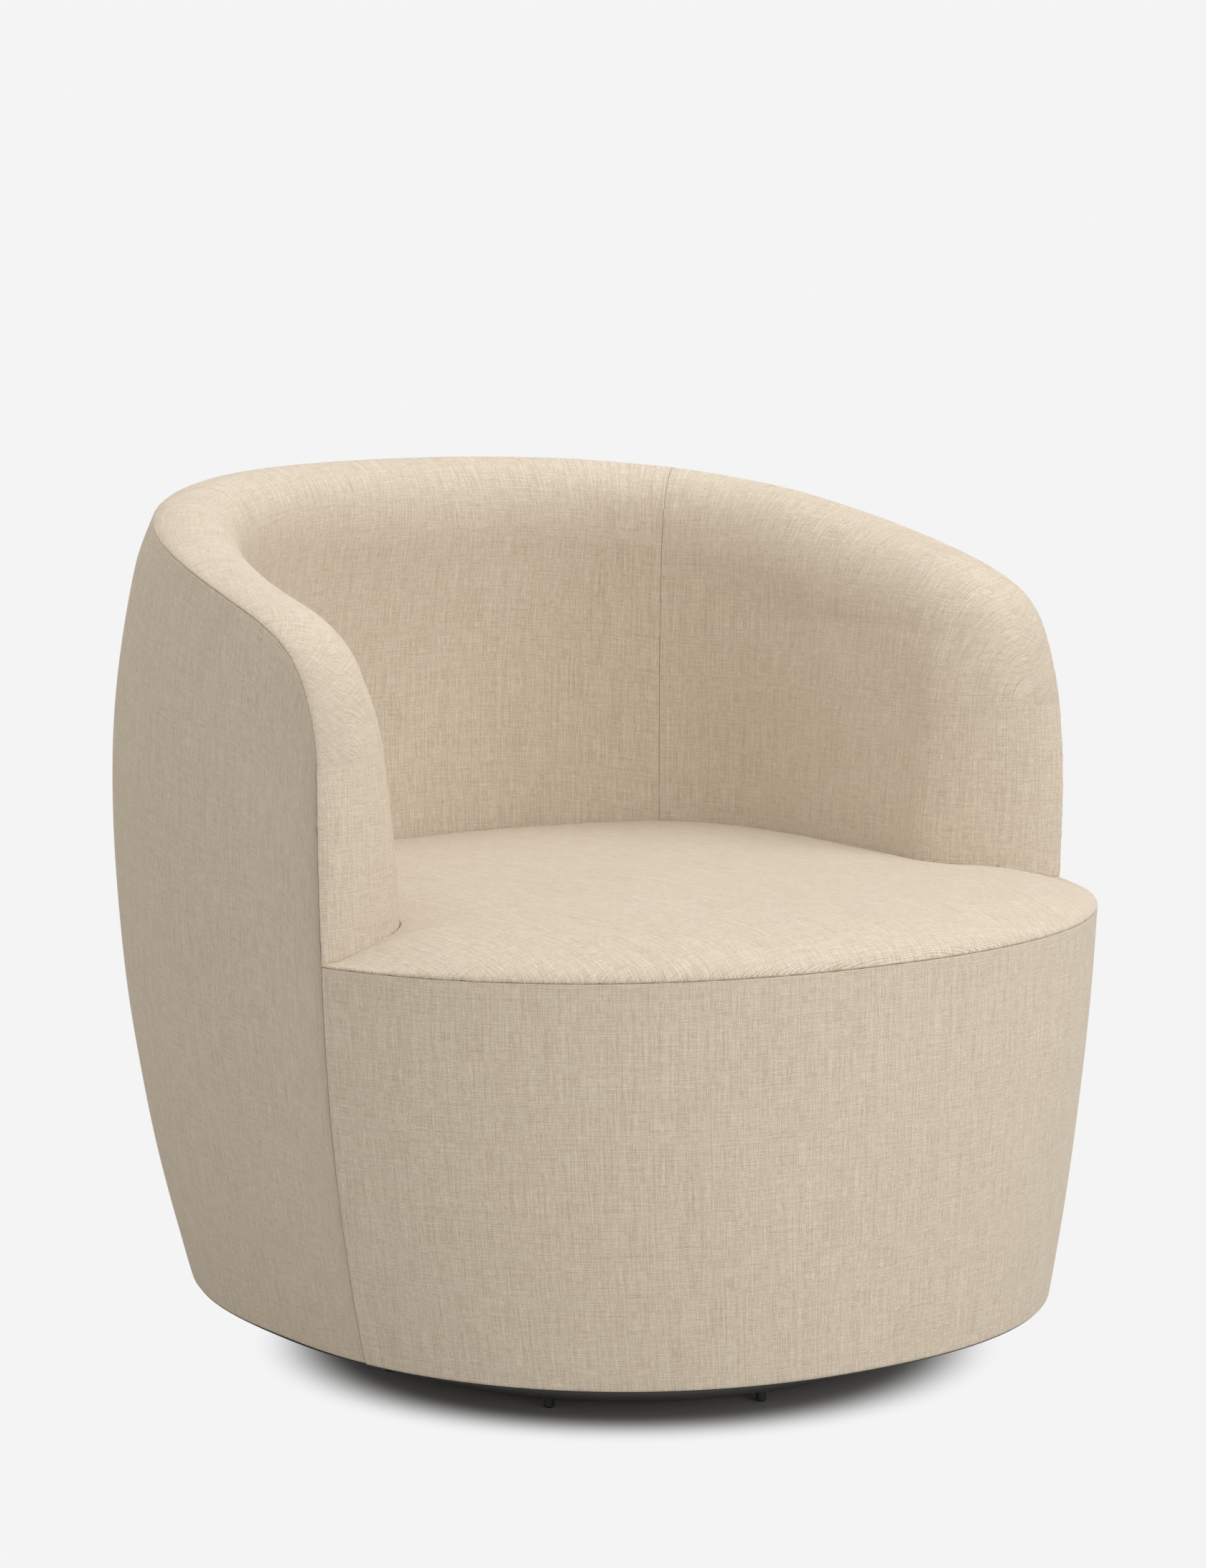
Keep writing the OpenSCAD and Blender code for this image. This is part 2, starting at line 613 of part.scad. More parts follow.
module screw(up) {
    mirror([0, 0, up ? 0 : 1]) {
        cylinder(h = screw_len, d = screw_d, $fn = 16);
        cylinder(h = screw_head_h, d1 = screw_head_d, d2 = screw_d, $fn = 16);
    }
}
module screw_hole(up) {
    mirror([0, 0, up ? 0 : 1]) {
        translate([0, 0, -near])
            cylinder(h = screw_len + screw_gap, d = screw_d + 2 * screw_gap, $fn = 16);
        translate([0, 0, -near])
            cylinder(h = screw_head_h + screw_gap + near, d1 = screw_head_d + 2 * screw_gap,
                d2 = screw_d + 2 * screw_gap, $fn = 16);
    }
}

front_rib_turns = [-72, -38];
side_rib_turns = [-12, 14];
rear_rib_turns = [38, 66];
arm_rib_turns = [4, 24];
back_rib_turns = [50, 70];
post_turn = -10;
function both(list) = concat(list, [for (t = list) half_turn - t]);
low_turns = both(concat(front_rib_turns, side_rib_turns, rear_rib_turns));
high_turns = concat(both(concat([post_turn], arm_rib_turns, back_rib_turns)), [quarter_turn]);
function foot_spot(t, z) = let(p = shell(t, z, screw_inset)) [p.x, p.y, 0];

module low_ribs(turns) {
    color("burlywood")
        difference() {
            for (t = both(turns))
                rib(t, board_top, ring_h, low_rib_w);
            for (t = both(turns)) {
                translate(foot_spot(t, board_top) + [0, 0, board_low])
                    screw_hole(true);
                translate(foot_spot(t, ring_h) + [0, 0, ring_top])
                    screw_hole(false);
            }
        }
}

module high_ribs(turns) {
    color("burlywood")
        difference() {
            for (t = turns)
                rib(t, ring_top, seam_over(t, 0) - rail_low_drop - rib_top_gap, rib_w);
            for (t = turns)
                translate(foot_spot(t, ring_top) + [0, 0, ring_h])
                    screw_hole(true);
        }
}

module front_ribs() {
    low_ribs(front_rib_turns);
}

module side_ribs() {
    low_ribs(side_rib_turns);
}

module rear_ribs() {
    low_ribs(rear_rib_turns);
}

module arm_posts() {
    high_ribs(both([post_turn]));
}

module arm_ribs() {
    high_ribs(both(arm_rib_turns));
}

module back_ribs() {
    high_ribs(concat(both(back_rib_turns), [quarter_turn]));
}

module bottom_board() {
    color("tan")
        difference() {
            translate([0, 0, board_low])
                linear_extrude(board_t)
                    polygon(plan(board_low, frame_inset));
            translate([0, 0, board_low - near])
                cylinder(h = board_t + 2 * near, d = board_hole_d);
            for (x = [-1, 1])
                for (y = [-1, 1])
                    translate([x * bolt_reach, y * bolt_reach, board_low - near])
                        cylinder(h = board_t + 2 * near, d = bolt_d + 2 * bolt_gap);
            for (t = low_turns)
                translate(foot_spot(t, board_top) + [0, 0, board_low])
                    screw_hole(true);
            for (i = [0:tacks - 1])
                translate(tack_spot(i))
                    cylinder(h = tack_len + screw_gap, d = tack_d + 2 * screw_gap, $fn = 12);
        }
}

module seat_ring() {
    color("tan")
        difference() {
            translate([0, 0, ring_h])
                linear_extrude(board_t)
                    difference() {
                        polygon(plan(ring_h, frame_inset));
                        polygon(plan(ring_h, frame_inset + ring_w));
                    }
            for (t = low_turns)
                translate(foot_spot(t, ring_h) + [0, 0, ring_top])
                    screw_hole(false);
            for (t = high_turns)
                translate(foot_spot(t, ring_top) + [0, 0, ring_h])
                    screw_hole(true);
        }
}

module board_screws() {
    color("dimgray")
        for (t = low_turns)
            translate(foot_spot(t, board_top) + [0, 0, board_low])
                screw(true);
}

module ring_screws() {
    color("dimgray")
        for (t = low_turns)
            translate(foot_spot(t, ring_h) + [0, 0, ring_top])
                screw(false);
}

module rib_screws() {
    color("dimgray")
        for (t = high_turns)
            translate(foot_spot(t, ring_top) + [0, 0, ring_h])
                screw(true);
}

rail_steps = 30;
rail_top_steps = 24;
module top_rail() {
    start = turn_of(-rail_front_reach);
    turns = [for (i = [0:rail_steps]) start + (half_turn - 2 * start) * i / rail_steps];
    ys = [for (i = [0:rail_top_steps]) -rail_front_reach
        + (back_reach + rail_front_reach) * i / rail_top_steps];
    rail_line = function(e) flat([for (t = turns) shell(t, seam_over(t, 0) - rail_top_drop, e)]);
    inner = rail_line(frame_inset + rail_t);
    color("burlywood")
        intersection() {
            linear_extrude(rim_top)
                polygon(concat(rail_line(frame_inset), [for (i = [rail_steps:-1:0]) inner[i]]));
            rotate([quarter_turn, 0, quarter_turn])
                linear_extrude(2 * half_width, center = true)
                    polygon(concat([for (y = ys) [y, raised(y, 0) - rail_top_drop]],
                        [for (i = [rail_top_steps:-1:0]) [ys[i], slope_h(ys[i]) - rail_low_drop]]));
        }
}

// Reach of a strap whose far edge runs at a distance from the middle
function strap_reach(reach, half, far, n) = reach * pow(1 - pow(abs(far) / half, n), 1 / n);
function far_edge(x) = x + (x < 0 ? -1 : 1) * strap_w / 2;

module webbing_lengthwise() {
    half = half_at(ring_top);
    color("saddlebrown")
        for (i = [-2:2]) {
            x = i * strap_pitch;
            front = strap_reach(front_at(ring_top) - strap_front_inset, half - strap_front_inset,
                far_edge(x), front_square);
            back = strap_reach(back_at(ring_top) - strap_inset, half - strap_inset,
                far_edge(x), back_square);
            translate([x - strap_w / 2, -front, ring_top])
                cube([strap_w, front + back, strap_t]);
        }
}

module webbing_crosswise() {
    color("saddlebrown")
        for (i = [-2:2]) {
            y = i * cross_pitch + cross_shift;
            half = strap_reach(half_at(ring_top) - strap_inset,
                (y < 0 ? front_at(ring_top) : back_at(ring_top)) - strap_inset, far_edge(y), back_square);
            translate([-half, y - strap_w / 2, ring_top + strap_t])
                cube([2 * half, strap_w, strap_t]);
        }
}

module seat_felt() {
    color("gray")
        translate([0, 0, felt_low])
            linear_extrude(felt_t)
                polygon(flat(seat_line(ring_h, front_t + front_foam_t + 3 * layer_gap)));
}

module seat_foam() {
    color("khaki")
        translate([0, 0, foam_low])
            linear_extrude(foam_top_h - foam_low)
                polygon(flat(seat_line(ring_h, front_t + front_foam_t + 3 * layer_gap)));
}

module seat_wadding() {
    line = seat_line(foam_top_h, front_t + layer_gap);
    color("white")
        dome([for (s = ring_shares) [for (k = [0:len(line) - 1]) crown_point(line, k, s,
                cover_t + layer_gap, 0)]],
            [for (s = ring_shares) [for (k = [0:len(line) - 1]) crown_point(line, k, s,
                0, foam_top_h)]]);
}

module seat_cover() {
    line = seat_line(seat_seam_h, 0);
    color("bisque")
        dome([for (s = ring_shares) [for (k = [0:len(line) - 1]) crown_point(line, k, s, 0, 0)]],
            [for (s = ring_shares) [for (k = [0:len(line) - 1]) crown_point(line, k, s,
                cover_t, 0)]]);
}

module front_cover() {
    zs = [for (j = [0:front_rows]) hem_h + (seat_seam_h - cover_t - layer_gap - hem_h) * j / front_rows];
    turn_z = hem_h + hem_turn_t;
    color("bisque")
        sheet([for (i = [0:front_cols]) concat([border_point(i, hem_h, hem_turn_w)],
                [for (z = zs) border_point(i, z, 0)])],
            [for (i = [0:front_cols]) concat([border_point(i, turn_z, hem_turn_w)],
                [for (z = zs) border_point(i, max(z, turn_z), front_t)])]);
}

module front_foam() {
    low = board_low;
    zs = [for (j = [0:front_rows]) low + (foam_top_h - layer_gap - low) * j / front_rows];
    a = front_t + layer_gap;
    color("khaki")
        sheet([for (i = [0:front_cols]) [for (z = zs) border_point(i, z, a)]],
            [for (i = [0:front_cols]) [for (z = zs) border_point(i, z, a + front_foam_t)]]);
}

module outer_cover() {
    n = len(top_turns);
    turn_z = hem_h + hem_turn_t;
    color("bisque")
        sheet([for (i = [0:n - 1]) concat([for (j = [outer_rows:-1:0]) outer_point(i, j, 0)],
                [hem_point(i, hem_h)])],
            [for (i = [0:n - 1]) concat([for (j = [outer_rows:-1:0]) outer_point(i, j, outer_t)],
                [hem_point(i, turn_z)])]);
}

module arm_cover_right() {
    color("bisque")
        pad_cover(arm_turns(0), arm_turns(cover_t));
}

module arm_cover_left() {
    mirror([1, 0, 0])
        arm_cover_right();
}

module arm_foam_right() {
    color("khaki")
        pad_foam(arm_turns(cover_t + layer_gap), cover_t + layer_gap);
}

module arm_foam_left() {
    mirror([1, 0, 0])
        arm_foam_right();
}

module back_cover() {
    color("bisque")
        pad_cover(back_turns(), back_turns());
}

module back_foam() {
    color("khaki")
        pad_foam(back_turns(), cover_t + layer_gap);
}

function tack_spot(i) = let(p = shell(full_turn * (i + 0.5) / tacks, hem_h, tack_inset))
    [p.x, p.y, dust_low];

module dust_cover() {
    color("black")
        translate([0, 0, dust_low])
            difference() {
                linear_extrude(dust_t)
                    difference() {
                        polygon(plan(hem_h, dust_inset));
                        square(dust_hole_w, center = true);
                    }
                for (i = [0:tacks - 1])
                    translate([tack_spot(i).x, tack_spot(i).y, -near])
                        cylinder(h = dust_t + 2 * near, d = tack_d + 2 * screw_gap, $fn = 12);
            }
}

module cover_tacks() {
    color("dimgray")
        for (i = [0:tacks - 1])
            translate(tack_spot(i)) {
                cylinder(h = tack_len, d = tack_d, $fn = 12);
                translate([0, 0, -tack_head_h])
                    cylinder(h = tack_head_h, d1 = tack_flat_d, d2 = tack_head_d, $fn = 16);
            }
}

// Swivel base
module base_dish() {
    mid = base_r - base_edge_r;
    color("dimgray")
        difference() {
            rotate_extrude($fn = 96) {
                translate([0, base_top - base_t])
                    square([mid, base_t]);
                translate([mid - base_lip_w, base_lift])
                    square([base_lip_w, base_t]);
                translate([mid, base_lift + base_edge_r])
                    difference() {
                        circle(base_edge_r);
                        circle(base_edge_r - base_t);
                        translate([-2 * base_edge_r, -base_edge_r])
                            square(2 * base_edge_r);
                    }
            }
            for (i = [0:glides - 1])
                rotate([0, 0, glide_turn + full_turn * i / glides])
                    translate([glide_reach, 0, base_lift - near])
                        cylinder(h = base_t + 2 * near, d = glide_stem_d + 2 * glide_gap, $fn = 24);
            for (i = [0:pin_rivets_n - 1])
                rotate([0, 0, full_turn * i / pin_rivets_n])
                    translate([pin_rivet_reach, 0, base_top - base_t - near])
                        cylinder(h = base_t + 2 * near, d = rivet_d + 2 * screw_gap, $fn = 24);
            for (i = [0:race_rivets_n - 1])
                rotate([0, 0, full_turn * (i + 0.5) / race_rivets_n])
                    translate([race_r, 0, base_top - base_t - near])
                        cylinder(h = base_t + 2 * near, d = rivet_d + 2 * screw_gap, $fn = 24);
        }
}

module floor_glides() {
    r = glide_d / 2;
    color("black")
        for (i = [0:glides - 1])
            rotate([0, 0, glide_turn + full_turn * i / glides])
                translate([glide_reach, 0, 0])
                    rotate_extrude($fn = 32) {
                        square([r - glide_round, base_lift]);
                        translate([0, glide_round])
                            square([r, base_lift - glide_round]);
                        intersection() {
                            translate([r - glide_round, glide_round])
                                circle(glide_round);
                            square([r, base_lift]);
                        }
                        square([glide_stem_d / 2, base_lift + base_t + glide_snap_h]);
                        translate([0, base_lift + base_t + glide_gap])
                            square([glide_snap_d / 2, glide_snap_h - glide_gap]);
                    }
}

module groove(z) {
    translate([0, 0, z])
        rotate_extrude($fn = 96)
            translate([race_r, 0])
                circle(ball_d / 2 + ball_gap, $fn = 32);
}

module lower_race() {
    color("silver")
        difference() {
            translate([0, 0, base_top])
                rotate_extrude($fn = 96)
                    translate([race_in_r, 0])
                        square([race_out_r - race_in_r, race_t]);
            groove(ball_z);
            for (i = [0:race_rivets_n - 1])
                rotate([0, 0, full_turn * (i + 0.5) / race_rivets_n])
                    translate([race_r, 0, base_top - near])
                        cylinder(h = race_rivet_depth + near + screw_gap,
                            d = rivet_d + 2 * screw_gap, $fn = 24);
        }
}

module race_rivets() {
    color("silver")
        for (i = [0:race_rivets_n - 1])
            rotate([0, 0, full_turn * (i + 0.5) / race_rivets_n])
                translate([race_r, 0, base_top - base_t - rivet_head_h]) {
                    cylinder(h = rivet_head_h, d1 = rivet_flat_d, d2 = rivet_head_d, $fn = 24);
                    cylinder(h = rivet_head_h + base_t + race_rivet_depth, d = rivet_d, $fn = 24);
                }
}

module upper_race() {
    color("silver")
        difference() {
            translate([0, 0, upper_race_low])
                rotate_extrude($fn = 96)
                    translate([race_in_r, 0])
                        square([race_out_r - race_in_r, race_t]);
            groove(ball_z);
        }
}

module bearing_balls() {
    color("silver")
        for (i = [0:balls - 1])
            rotate([0, 0, full_turn * i / balls])
                translate([race_r, 0, ball_z])
                    sphere(d = ball_d, $fn = 24);
}

module ball_cage() {
    color("goldenrod")
        difference() {
            translate([0, 0, ball_z - cage_t / 2])
                rotate_extrude($fn = 96)
                    translate([cage_in_r, 0])
                        square([cage_out_r - cage_in_r, cage_t]);
            for (i = [0:balls - 1])
                rotate([0, 0, full_turn * i / balls])
                    translate([race_r, 0, ball_z - cage_t])
                        cylinder(h = 2 * cage_t, d = ball_d + 2 * cage_gap, $fn = 32);
        }
}

module swivel_plate() {
    w = plate_w / 2 - plate_corner_r;
    color("dimgray")
        difference() {
            translate([0, 0, plate_low])
                linear_extrude(plate_t)
                    union() {
                        square([plate_w, 2 * w], center = true);
                        square([2 * w, plate_w], center = true);
                        for (x = [-1, 1])
                            for (y = [-1, 1])
                                translate([x * w, y * w])
                                    circle(plate_corner_r);
                    }
            translate([0, 0, plate_low - near])
                cylinder(h = plate_t + 2 * near, d = bush_d);
            for (x = [-1, 1])
                for (y = [-1, 1])
                    translate([x * bolt_reach, y * bolt_reach, plate_low - near])
                        cylinder(h = plate_t + 2 * near, d = bolt_d + 2 * bolt_gap);
        }
}

module pin_bush() {
    color("peru")
        difference() {
            translate([0, 0, plate_low - bush_flange_t]) {
                cylinder(h = bush_flange_t, d = bush_flange_d);
                cylinder(h = bush_flange_t + plate_t + bush_rise, d = bush_d);
            }
            translate([0, 0, plate_low - bush_flange_t - near])
                cylinder(h = bush_flange_t + plate_t + bush_rise + 2 * near, d = pin_d + 2 * pin_gap);
        }
}

module centre_pin() {
    color("silver")
        difference() {
            union() {
                translate([0, 0, base_top])
                    cylinder(h = pin_flange_t, d = pin_flange_d);
                translate([0, 0, base_top])
                    cylinder(h = shoulder_z - base_top, d = pin_d);
                translate([0, 0, base_top])
                    cylinder(h = shoulder_z - base_top + stub_len, d = stub_d);
            }
            for (i = [0:pin_rivets_n - 1])
                rotate([0, 0, full_turn * i / pin_rivets_n])
                    translate([pin_rivet_reach, 0, base_top - near])
                        cylinder(h = pin_flange_t + 2 * near, d = rivet_d + 2 * screw_gap, $fn = 24);
        }
}

module pin_rivets() {
    grip = base_t + pin_flange_t;
    color("silver")
        for (i = [0:pin_rivets_n - 1])
            rotate([0, 0, full_turn * i / pin_rivets_n])
                translate([pin_rivet_reach, 0, base_top - base_t - rivet_head_h]) {
                    cylinder(h = rivet_head_h, d1 = rivet_flat_d, d2 = rivet_head_d, $fn = 24);
                    cylinder(h = 2 * rivet_head_h + grip, d = rivet_d, $fn = 24);
                    translate([0, 0, rivet_head_h + grip])
                        cylinder(h = rivet_head_h, d1 = rivet_head_d, d2 = rivet_flat_d, $fn = 24);
                }
}

module pin_washer() {
    color("silver")
        translate([0, 0, shoulder_z])
            difference() {
                cylinder(h = pin_washer_t, d = pin_washer_d);
                translate([0, 0, -near])
                    cylinder(h = pin_washer_t + 2 * near, d = stub_d + 2 * stub_gap);
            }
}

module pin_nut() {
    color("silver")
        translate([0, 0, shoulder_z + pin_washer_t])
            difference() {
                cylinder(h = pin_nut_h, d = pin_nut_flats / cos(30), $fn = 6);
                translate([0, 0, -near])
                    cylinder(h = pin_nut_h + 2 * near, d = stub_d + 2 * stub_gap);
            }
}

module at_bolts() {
    for (x = [-1, 1])
        for (y = [-1, 1])
            translate([x * bolt_reach, y * bolt_reach, 0])
                children();
}

module plate_bolts() {
    color("silver")
        at_bolts()
            translate([0, 0, plate_low - bolt_head_h]) {
                cylinder(h = bolt_head_h, d = bolt_flats / cos(30), $fn = 6);
                cylinder(h = bolt_head_h + bolt_len, d = bolt_d);
            }
}

module plate_washers() {
    color("silver")
        at_bolts()
            translate([0, 0, board_top])
                difference() {
                    cylinder(h = washer_t, d = washer_d);
                    translate([0, 0, -near])
                        cylinder(h = washer_t + 2 * near, d = bolt_d + 2 * bolt_gap);
                }
}

module plate_nuts() {
    color("silver")
        at_bolts()
            translate([0, 0, board_top + washer_t])
                difference() {
                    cylinder(h = bolt_nut_h, d = bolt_flats / cos(30), $fn = 6);
                    translate([0, 0, -near])
                        cylinder(h = bolt_nut_h + 2 * near, d = bolt_d + 2 * stub_gap);
                }
}

base_dish();
floor_glides();
lower_race();
race_rivets();
centre_pin();
pin_rivets();
pin_washer();
pin_nut();
bearing_balls();
ball_cage();
upper_race();
swivel_plate();
pin_bush();
plate_bolts();
plate_washers();
plate_nuts();
bottom_board();
dust_cover();
cover_tacks();
front_ribs();
side_ribs();
rear_ribs();
board_screws();
seat_ring();
ring_screws();
arm_posts();
arm_ribs();
back_ribs();
rib_screws();
top_rail();
webbing_lengthwise();
webbing_crosswise();
seat_felt();
seat_foam();
seat_wadding();
seat_cover();
front_foam();
front_cover();
outer_cover();
arm_foam_left();
arm_foam_right();
arm_cover_left();
arm_cover_right();
back_foam();
back_cover();
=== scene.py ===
import json
import math
from collections import namedtuple
import bpy
import numpy as np
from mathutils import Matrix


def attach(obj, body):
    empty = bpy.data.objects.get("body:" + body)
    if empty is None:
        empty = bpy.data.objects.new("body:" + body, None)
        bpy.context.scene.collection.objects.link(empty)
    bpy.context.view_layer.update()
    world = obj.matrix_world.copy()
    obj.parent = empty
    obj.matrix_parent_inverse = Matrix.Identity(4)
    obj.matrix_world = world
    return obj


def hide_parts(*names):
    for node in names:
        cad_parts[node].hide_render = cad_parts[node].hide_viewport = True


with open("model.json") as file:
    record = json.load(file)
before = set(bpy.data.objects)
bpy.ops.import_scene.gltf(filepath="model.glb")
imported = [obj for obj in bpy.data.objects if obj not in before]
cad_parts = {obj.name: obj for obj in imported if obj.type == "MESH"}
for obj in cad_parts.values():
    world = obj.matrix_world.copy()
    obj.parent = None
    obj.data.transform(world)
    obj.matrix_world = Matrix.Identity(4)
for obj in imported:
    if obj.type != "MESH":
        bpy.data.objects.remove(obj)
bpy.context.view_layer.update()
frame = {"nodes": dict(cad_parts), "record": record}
MM = 0.001

# Sizes of the chair in millimetres: height, half width and reach of the upholstered body
HEM, WIDEST, SEAT_SEAM, BACK_SEAM = 56.0, 499.0, 401.0, 769.0
HALF, HEM_HALF, TOP_HALF = 420.0, 364.0, 386.0
FRONT, HEM_FRONT = 390.0, 373.0
BACK, HEM_BACK, TOP_BACK = 470.0, 389.0, 416.0
FRONT_SQUARE, BACK_SQUARE, INNER_SQUARE = 2.22, 2.47, 0.33
ARM_REACH, HEM_ARM_REACH = 128.0, 118.0
CORNER_RUN, CORNER_DROP, CORNER_SQUARE = 126.0, 124.0, 1.92
SLOPE_RUN, SLOPE_FALL, SLOPE_BOW = 550.0, 118.0, 13.0
WALL, RIM_INSET, RIM_DEPTH = 103.0, 31.0, 84.0
BACK_RISE, ARM_RISE, SHOULDER_EASE, ARM_FLARE = 12.0, 8.2, 0.155, 30.0
PAD_SEAM = 45.5
CROWN, CROWN_REACH = 432.0, 200.0
PAD_FOOT, CUSHION_LOW = 354.0, 358.0
HEM_TURN, WRAP_T, BORDER_T = 24.0, 4.6, 7.8
SEAM_GAP = 0.12  # width of the gap at a pad seam
HEM_LOW, BORDER_LOW = 56.4, 55.6  # lower edges of the outside panel and of the front border
MID, ARM_GAP = 432.0, -0.4  # where the rows of an arm pad begin to follow the seat, and their place above it
PAD_STEP, SIM_STEP = 4.5, 15.0  # spacing of the points of a pad as shown, and as simulated
PAD_LIFT, SEAT_LIFT = 2.6, 2.2  # most that the face of a pad or of the seat may stand out
PAD_FULL, SEAT_FULL = 2.2, 1.6  # fullness that the simulation may add
SIM_FRAMES, SIM_REACH = 20, 60.0  # frames run, and the most that a point may move

# Distances beside a seam at which a mesh has its columns or rows
EDGE_NEAR = (0.25, 0.7, 1.3, 2.1, 3.2, 4.8, 7.2, 10.5)
PAD_NEAR = (0.4, 1.1, 2.2, 3.6, 5.2, 7.2, 9.6, 12.5)
RIM_NEAR = EDGE_NEAR[:4]

# The showing skin of a pad and the one hidden behind it
Skin = namedtuple("Skin", "share wall flared rounding edge")
SHOWN = Skin(1.0, WALL, 1.0, RIM_DEPTH, 0.0)
HIDDEN = Skin(0.3, 52.0, 0.0, 60.0, 6.0)


def smooth(x):
    x = np.clip(x, 0, 1)
    return x * x * (3 - 2 * x)


def eased(places, values, width):
    """Curve through a table of values, its corners rounded off."""
    grid = np.arange(places[0] - 3 * width, places[-1] + 3 * width + 1, 1.0)
    kernel = np.hanning(2 * width + 3)[1:-1]
    values = np.convolve(np.pad(np.interp(grid, places, values), width, "edge"), kernel / kernel.sum(), "valid")
    return lambda x: np.interp(x, grid, values)


# Body of the chair: the same curves as the frame is cut to
def swell(z, mid, low, high):
    below = mid - (mid - low) * ((WIDEST - z) / (WIDEST - HEM)) ** 2
    above = mid - (mid - high) * ((z - WIDEST) / (BACK_SEAM - WIDEST)) ** 2
    return np.where(z < WIDEST, below, above)


def body_point(turn, z, inset):
    """Point of the body at a plan turn in degrees, a height and a distance inside the outer face."""
    turn, z, inset = np.broadcast_arrays(*(np.asarray(a, float) for a in (turn, z, inset)))
    c0, s0 = np.cos(np.radians(turn)), np.sin(np.radians(turn))
    rear = s0 >= 0
    back_square = BACK_SQUARE - SHOULDER_EASE * smooth((z - 700) / 70)
    n = np.where(rear, back_square, FRONT_SQUARE) + INNER_SQUARE * inset / WALL
    reach = np.where(rear, swell(z, BACK, HEM_BACK, TOP_BACK), swell(z, FRONT, HEM_FRONT, FRONT)) - inset
    half = swell(z, HALF, HEM_HALF, TOP_HALF) - inset
    return np.stack([np.where(c0 < 0, -1, 1) * half * np.abs(c0) ** (2 / n),
                     np.where(rear, 1, -1) * reach * np.abs(s0) ** (2 / n), z], -1)


def turn_at(y):
    y = np.asarray(y, float)
    ahead = -np.degrees(np.arcsin(np.clip(-y / FRONT, 0, 1) ** (FRONT_SQUARE / 2)))
    behind = np.degrees(np.arcsin(np.clip(y / BACK, 0, 1) ** (BACK_SQUARE / 2)))
    return np.where(y < 0, ahead, behind)


def slope_height(y):
    s = (TOP_BACK - y) / SLOPE_RUN
    return BACK_SEAM - SLOPE_FALL * s + 4 * SLOPE_BOW * s * (1 - s)


CORNER_Y = CORNER_RUN - ARM_REACH
CORNER_Z = float(slope_height(CORNER_Y)) - CORNER_DROP


def rim_height(y, rise):
    y = np.asarray(y, float)
    part = np.clip(1 - np.clip((CORNER_Y - y) / (CORNER_RUN + rise), 0, None) ** CORNER_SQUARE, 0, 1)
    return np.where(y < CORNER_Y, CORNER_Z + (CORNER_DROP + rise) * part ** (1 / CORNER_SQUARE),
                    slope_height(y) + rise)


def seam_height(turn, rise=0.0):
    z = np.full(np.shape(turn), BACK_SEAM)
    for _ in range(4):
        z = rim_height(body_point(turn, z, 0)[..., 1], rise)
    return z


def depth_below(turn, z, rise):
    """How far a point of the body lies inside the edge of the rim."""
    turn, z = np.broadcast_arrays(np.asarray(turn, float), np.asarray(z, float))
    y = body_point(turn, np.where(turn < 0, WIDEST, z), 0)[..., 1]
    run, drop = CORNER_RUN + rise, CORNER_DROP + rise
    across = np.clip((CORNER_Y - y) / run, 0, None) ** CORNER_SQUARE
    up = np.clip((z - CORNER_Z) / drop, 0, None) ** CORNER_SQUARE
    corner = run * (1 - (across + up) ** (1 / CORNER_SQUARE))
    return np.where(y >= CORNER_Y, rim_height(y, rise) - z,
                    np.where(z <= CORNER_Z, y + ARM_REACH + rise, corner))


def round_over(x):
    return np.sqrt(np.clip(1 - (1 - np.clip(x, 0, 1)) ** 2, 0, 1))


def rise_at(turn):
    """Height of the rim above its outer seam: fuller on the back than on the arms."""
    turn = np.asarray(turn, float)
    return ARM_RISE + (BACK_RISE - ARM_RISE) * smooth((np.where(turn > 90, 180 - turn, turn) - 5) / 25)


def flare(turn, z):
    """How much thicker the arm pads grow towards the seat."""
    down = np.clip((630 - z) / 200, 0, 1)
    return ARM_FLARE * (1 - (1 - down) ** 1.5) * smooth((42 - turn) / 45) * smooth((z - 372) / 30)


def pad_inset(turn, z, skin=SHOWN):
    """Distance of a pad's face inside the body."""
    depth = np.clip(depth_below(turn, z, skin.share * rise_at(turn)), 0, None)
    return RIM_INSET + (skin.wall + skin.flared * flare(turn, z) - RIM_INSET) * round_over(depth / skin.rounding)


# How far the rim of the arms sinks, by y, and how far their front leans back, by height
arm_dip = eased([-128, -104, -92, -78, -62, -45, -32, -22, -12, -2, 20, 76, 130, 173, 203, 240, 300, 480],
                [0, 0.2, -1.0, -2.6, -4.6, -5.6, -5.0, -4.0, -2.4, 0, 0.2, 0.3, 0.3, 0.2, 0.2, 0, 0, 0], 4)
nose_set = eased([300, 415, 486, 520, 546, 580, 596, 610, 630, 650, 675, 800],
                 [0, 0, 0, 1.0, 2.8, 5.5, 6.4, 6.2, 4.7, 2.5, 0.5, 0], 14)


def relax(points):
    """Lets the rim of the arms sink and their front lean back a little, as made-up cloth does."""
    y, z = points[..., 1], points[..., 2]
    crest = rim_height(np.clip(y, -127.9, 480), 0)
    move = np.zeros(points.shape)
    move[..., 1] = nose_set(z) * smooth((-20 - y) / 90)
    move[..., 2] = arm_dip(y) * smooth((z - crest + 150) / 130)
    return points + move


# Height of the seat's edge where it goes down beside the pads, by plan turn
tuck_height = eased([-60, -17.8, -17.3, -15, -12.5, -6, 8, 25, 41, 48, 69, 90, 100],
                    [415, 415, 415.5, 417.5, 419, 420.5, 421, 419.5, 419, 418, 413, 411, 411], 1)


